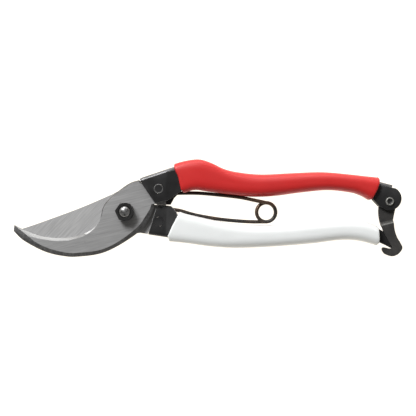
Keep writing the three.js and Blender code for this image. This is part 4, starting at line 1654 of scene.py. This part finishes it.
@dataclass(frozen=True)
class Spring(Assembly):
    """The torsion spring: a wire with a leg beside each handle and the coil between them."""

    wire: Wire
    around: int = 20
    end_round: float = 0.25

    def build(self) -> None:
        """The wire, a round section carried along its route; the flex shares are worked out but not kept."""
        line = np.array(self.wire.whole())
        tangents = np.gradient(line, axis=0)
        tangents /= np.linalg.norm(tangents, axis=1)[:, None]
        circle = Draw.arc((0.0, 0.0), self.wire.radius, 0, 360, self.around)[:-1]
        rings = []
        for place, tangent in zip(line, tangents):
            side = np.cross(tangent, (0.0, 0.0, 1.0))
            side /= np.linalg.norm(side)
            top = np.cross(side, tangent)
            rings.append([tuple(place + side * x + top * y) for x, y in circle])
        spring = Shop.loft("torsion_spring_wire", rings)
        self.dress(spring, self.finishes.wire)
        Shop.soften(spring, self.end_round, angle=60)
        Shop.shade(spring, angle=60, flat_faces=False)
        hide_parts("spring")
        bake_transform(spring)
        self.spread_flex(spring, line)
        LOG.info("%s: %d faces, bends between the handles", spring.name, len(spring.data.polygons))

    def spread_flex(self, spring: bpy.types.Object, line: np.ndarray) -> None:
        """Works out how far each point would follow the white handle: 0 and 1 at the anchors, half at the
        coil; the result is not kept.

        Args:
            spring: the spring's object; not used.
            line: its centre line, one place in each row.
        """
        distance = np.hypot(line[:, 0], line[:, 1])
        first_leg = len(self.wire.leg(True)) - 1
        last_leg = len(line) - len(self.wire.leg(False))
        start, reach = distance[0], distance[first_leg]
        share = np.clip(0.5 / (1 - start / reach) * (1 - start / distance), 0, 0.5)
        weights = np.full(len(line), 0.5)
        weights[:first_leg] = share[:first_leg]
        weights[last_leg:] = 1 - share[last_leg:]


# ---- Studio ------------------------------------------------------------------------------


@dataclass(frozen=True)
class Studio:
    """Pale floor, soft lights and the camera, looking straight down."""

    centre: Flat = (42.6, 1.9)
    frame_width: float = 213.8
    focus_level: float = 11.0
    lens: float = 135.0
    sensor: float = 36.0
    view_depth: float = 20.0
    floor_size: float = 6.0
    floor_level: float = -0.0002
    floor_glow: float = 1.2
    light_target: Spot = (0.04, 0.0, 0.0)
    sky_above: float = 0.14
    sky_round: float = 0.8
    sky_fade: Flat = (0.15, 0.55)

    def camera(self) -> None:
        """The camera over the shears, with +Y up in the picture."""
        data = bpy.data.cameras.new("camera")
        data.lens = self.lens
        data.sensor_width = self.sensor
        data.clip_end = self.view_depth
        camera = bpy.data.objects.new("camera", data)
        height = self.frame_width * self.lens / self.sensor + self.focus_level
        camera.location = (self.centre[0] * MM, self.centre[1] * MM, height * MM)
        bpy.context.scene.collection.objects.link(camera)
        bpy.context.scene.camera = camera

    def floor(self) -> None:
        """A pale, faintly glowing floor, like a lit table."""
        bpy.ops.object.select_all(action="DESELECT")
        bpy.ops.mesh.primitive_plane_add(size=self.floor_size, location=(0, 0, self.floor_level))
        plane = bpy.context.active_object
        plane.name = "studio_floor"
        sheet = Sheet("studio_paper")
        sheet.set(
            Base_Color=(0.2, 0.2, 0.195, 1), Roughness=0.9, Specular_IOR_Level=0.0,
            Emission_Color=(1.0, 0.935, 0.835, 1), Emission_Strength=self.floor_glow)
        plane.data.materials.append(sheet.material)

    def panel(self, name: str, place: Spot, size: float, power: float) -> None:
        """A soft square light that faces the shears.

        Args:
            name: its name.
            place: where it stands, in metres.
            size: its side in metres.
            power: its power in watts.
        """
        data = bpy.data.lights.new(name, "AREA")
        data.size = size
        data.energy = power
        lamp = bpy.data.objects.new(name, data)
        lamp.location = place
        towards = Vector(self.light_target) - Vector(place)
        lamp.rotation_euler = towards.to_track_quat("-Z", "Y").to_euler()
        bpy.context.scene.collection.objects.link(lamp)

    def sky(self) -> None:
        """A plain sky, pale all round and dimmer overhead."""
        world = bpy.data.worlds.new("studio_sky")
        world.use_nodes = True
        nodes, links = world.node_tree.nodes, world.node_tree.links
        height = nodes.new("ShaderNodeSeparateXYZ")
        links.new(nodes.new("ShaderNodeTexCoord").outputs["Generated"], height.inputs[0])
        ramp = nodes.new("ShaderNodeMapRange")
        numbers = (*self.sky_fade, self.sky_round, self.sky_above)
        for key, number in zip(("From Min", "From Max", "To Min", "To Max"), numbers):
            ramp.inputs[key].default_value = number
        links.new(height.outputs["Z"], ramp.inputs["Value"])
        background = nodes["Background"]
        background.inputs["Color"].default_value = (1, 0.975, 0.935, 1)
        links.new(ramp.outputs[0], background.inputs["Strength"])
        bpy.context.scene.world = world

    def build(self) -> None:
        """Camera, floor, lights and sky."""
        self.camera()
        self.floor()
        self.panel("key_panel", (-0.42, 0.68, 0.84), size=0.4, power=15.0)
        self.panel("back_panel", (0.0, 1.2, 0.4), size=0.8, power=8.5)
        self.sky()
        bpy.context.scene.view_settings.view_transform = "Standard"
        LOG.info("studio ready")


# ---- The two grips -----------------------------------------------------------------------

RED_SHAPE = SleeveShape(
    name="red_sleeve", node="red_grip", body=Body.RED, slot=Slot.RED,
    back=(
        (25.1, 24.6), (31.0, 26.2), (37.9, 27.0), (44.0, 25.3), (51.3, 21.9), (59.0, 20.2), (70.3, 19.2),
        (86.0, 19.9), (101.2, 20.4), (116.0, 19.2), (131.0, 17.4)),
    inner=(
        (30.0, 9.6), (35.9, 11.2), (43.0, 10.3), (59.0, 8.2), (67.5, 7.6), (78.0, 8.2), (89.8, 9.8),
        (104.0, 11.1), (115.5, 10.0), (121.0, 8.4), (125.3, 6.0)),
    front_bulge=((0, 0.0), (0.13, -0.7), (0.3, -0.4), (0.57, 0.0), (0.85, -0.6), (1, 0.0)),
    rear_bulge=((0, 0.3), (0.1, 1.3), (0.5, 1.3), (0.8, 1.0), (0.95, 0.2), (1, -0.5)))

WHITE_SHAPE = SleeveShape(
    name="white_sleeve", node="white_grip", body=Body.WHITE, slot=Slot.WHITE,
    back=(
        (22.0, -15.1), (30.7, -16.1), (44.0, -17.9), (57.0, -18.7), (74.4, -18.1), (95.0, -16.5),
        (105.3, -15.2), (113.0, -14.5), (120.7, -15.1), (130.0, -17.4)),
    inner=(
        (27.6, 0.2), (33.3, -1.6), (48.7, -5.0), (59.0, -6.4), (69.3, -6.9), (84.0, -6.4), (100.1, -5.0),
        (113.0, -4.2), (123.0, -4.8), (130.3, -7.2)),
    front_bulge=((0, 0.2), (0.15, 0.2), (0.45, -0.5), (0.86, -1.0), (1, 0.7)),
    rear_bulge=((0, -0.8), (0.12, 0.0), (0.67, 0.5), (0.86, 0.5), (1, -0.5)))


def main() -> None:
    """Builds the shears' assemblies in order and reports them."""
    logging.basicConfig(level=logging.INFO, format="%(name)s: %(message)s")
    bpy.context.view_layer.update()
    levels, finishes = Levels.read(), Finishes()
    wire = Wire(levels.middle)
    Studio().build()
    Blades(levels, finishes).build()
    red = Sleeve(levels, finishes, wire, RED_SHAPE)
    white = Sleeve(levels, finishes, wire, WHITE_SHAPE)
    red.build()
    white.build()
    Channel(levels, finishes, red).red()
    Channel(levels, finishes, white).white()
    Fasteners(levels, finishes).build()
    Catch(levels, finishes).build()
    Spring(levels, finishes, wire).build()


if __name__ == "__main__":
    main()
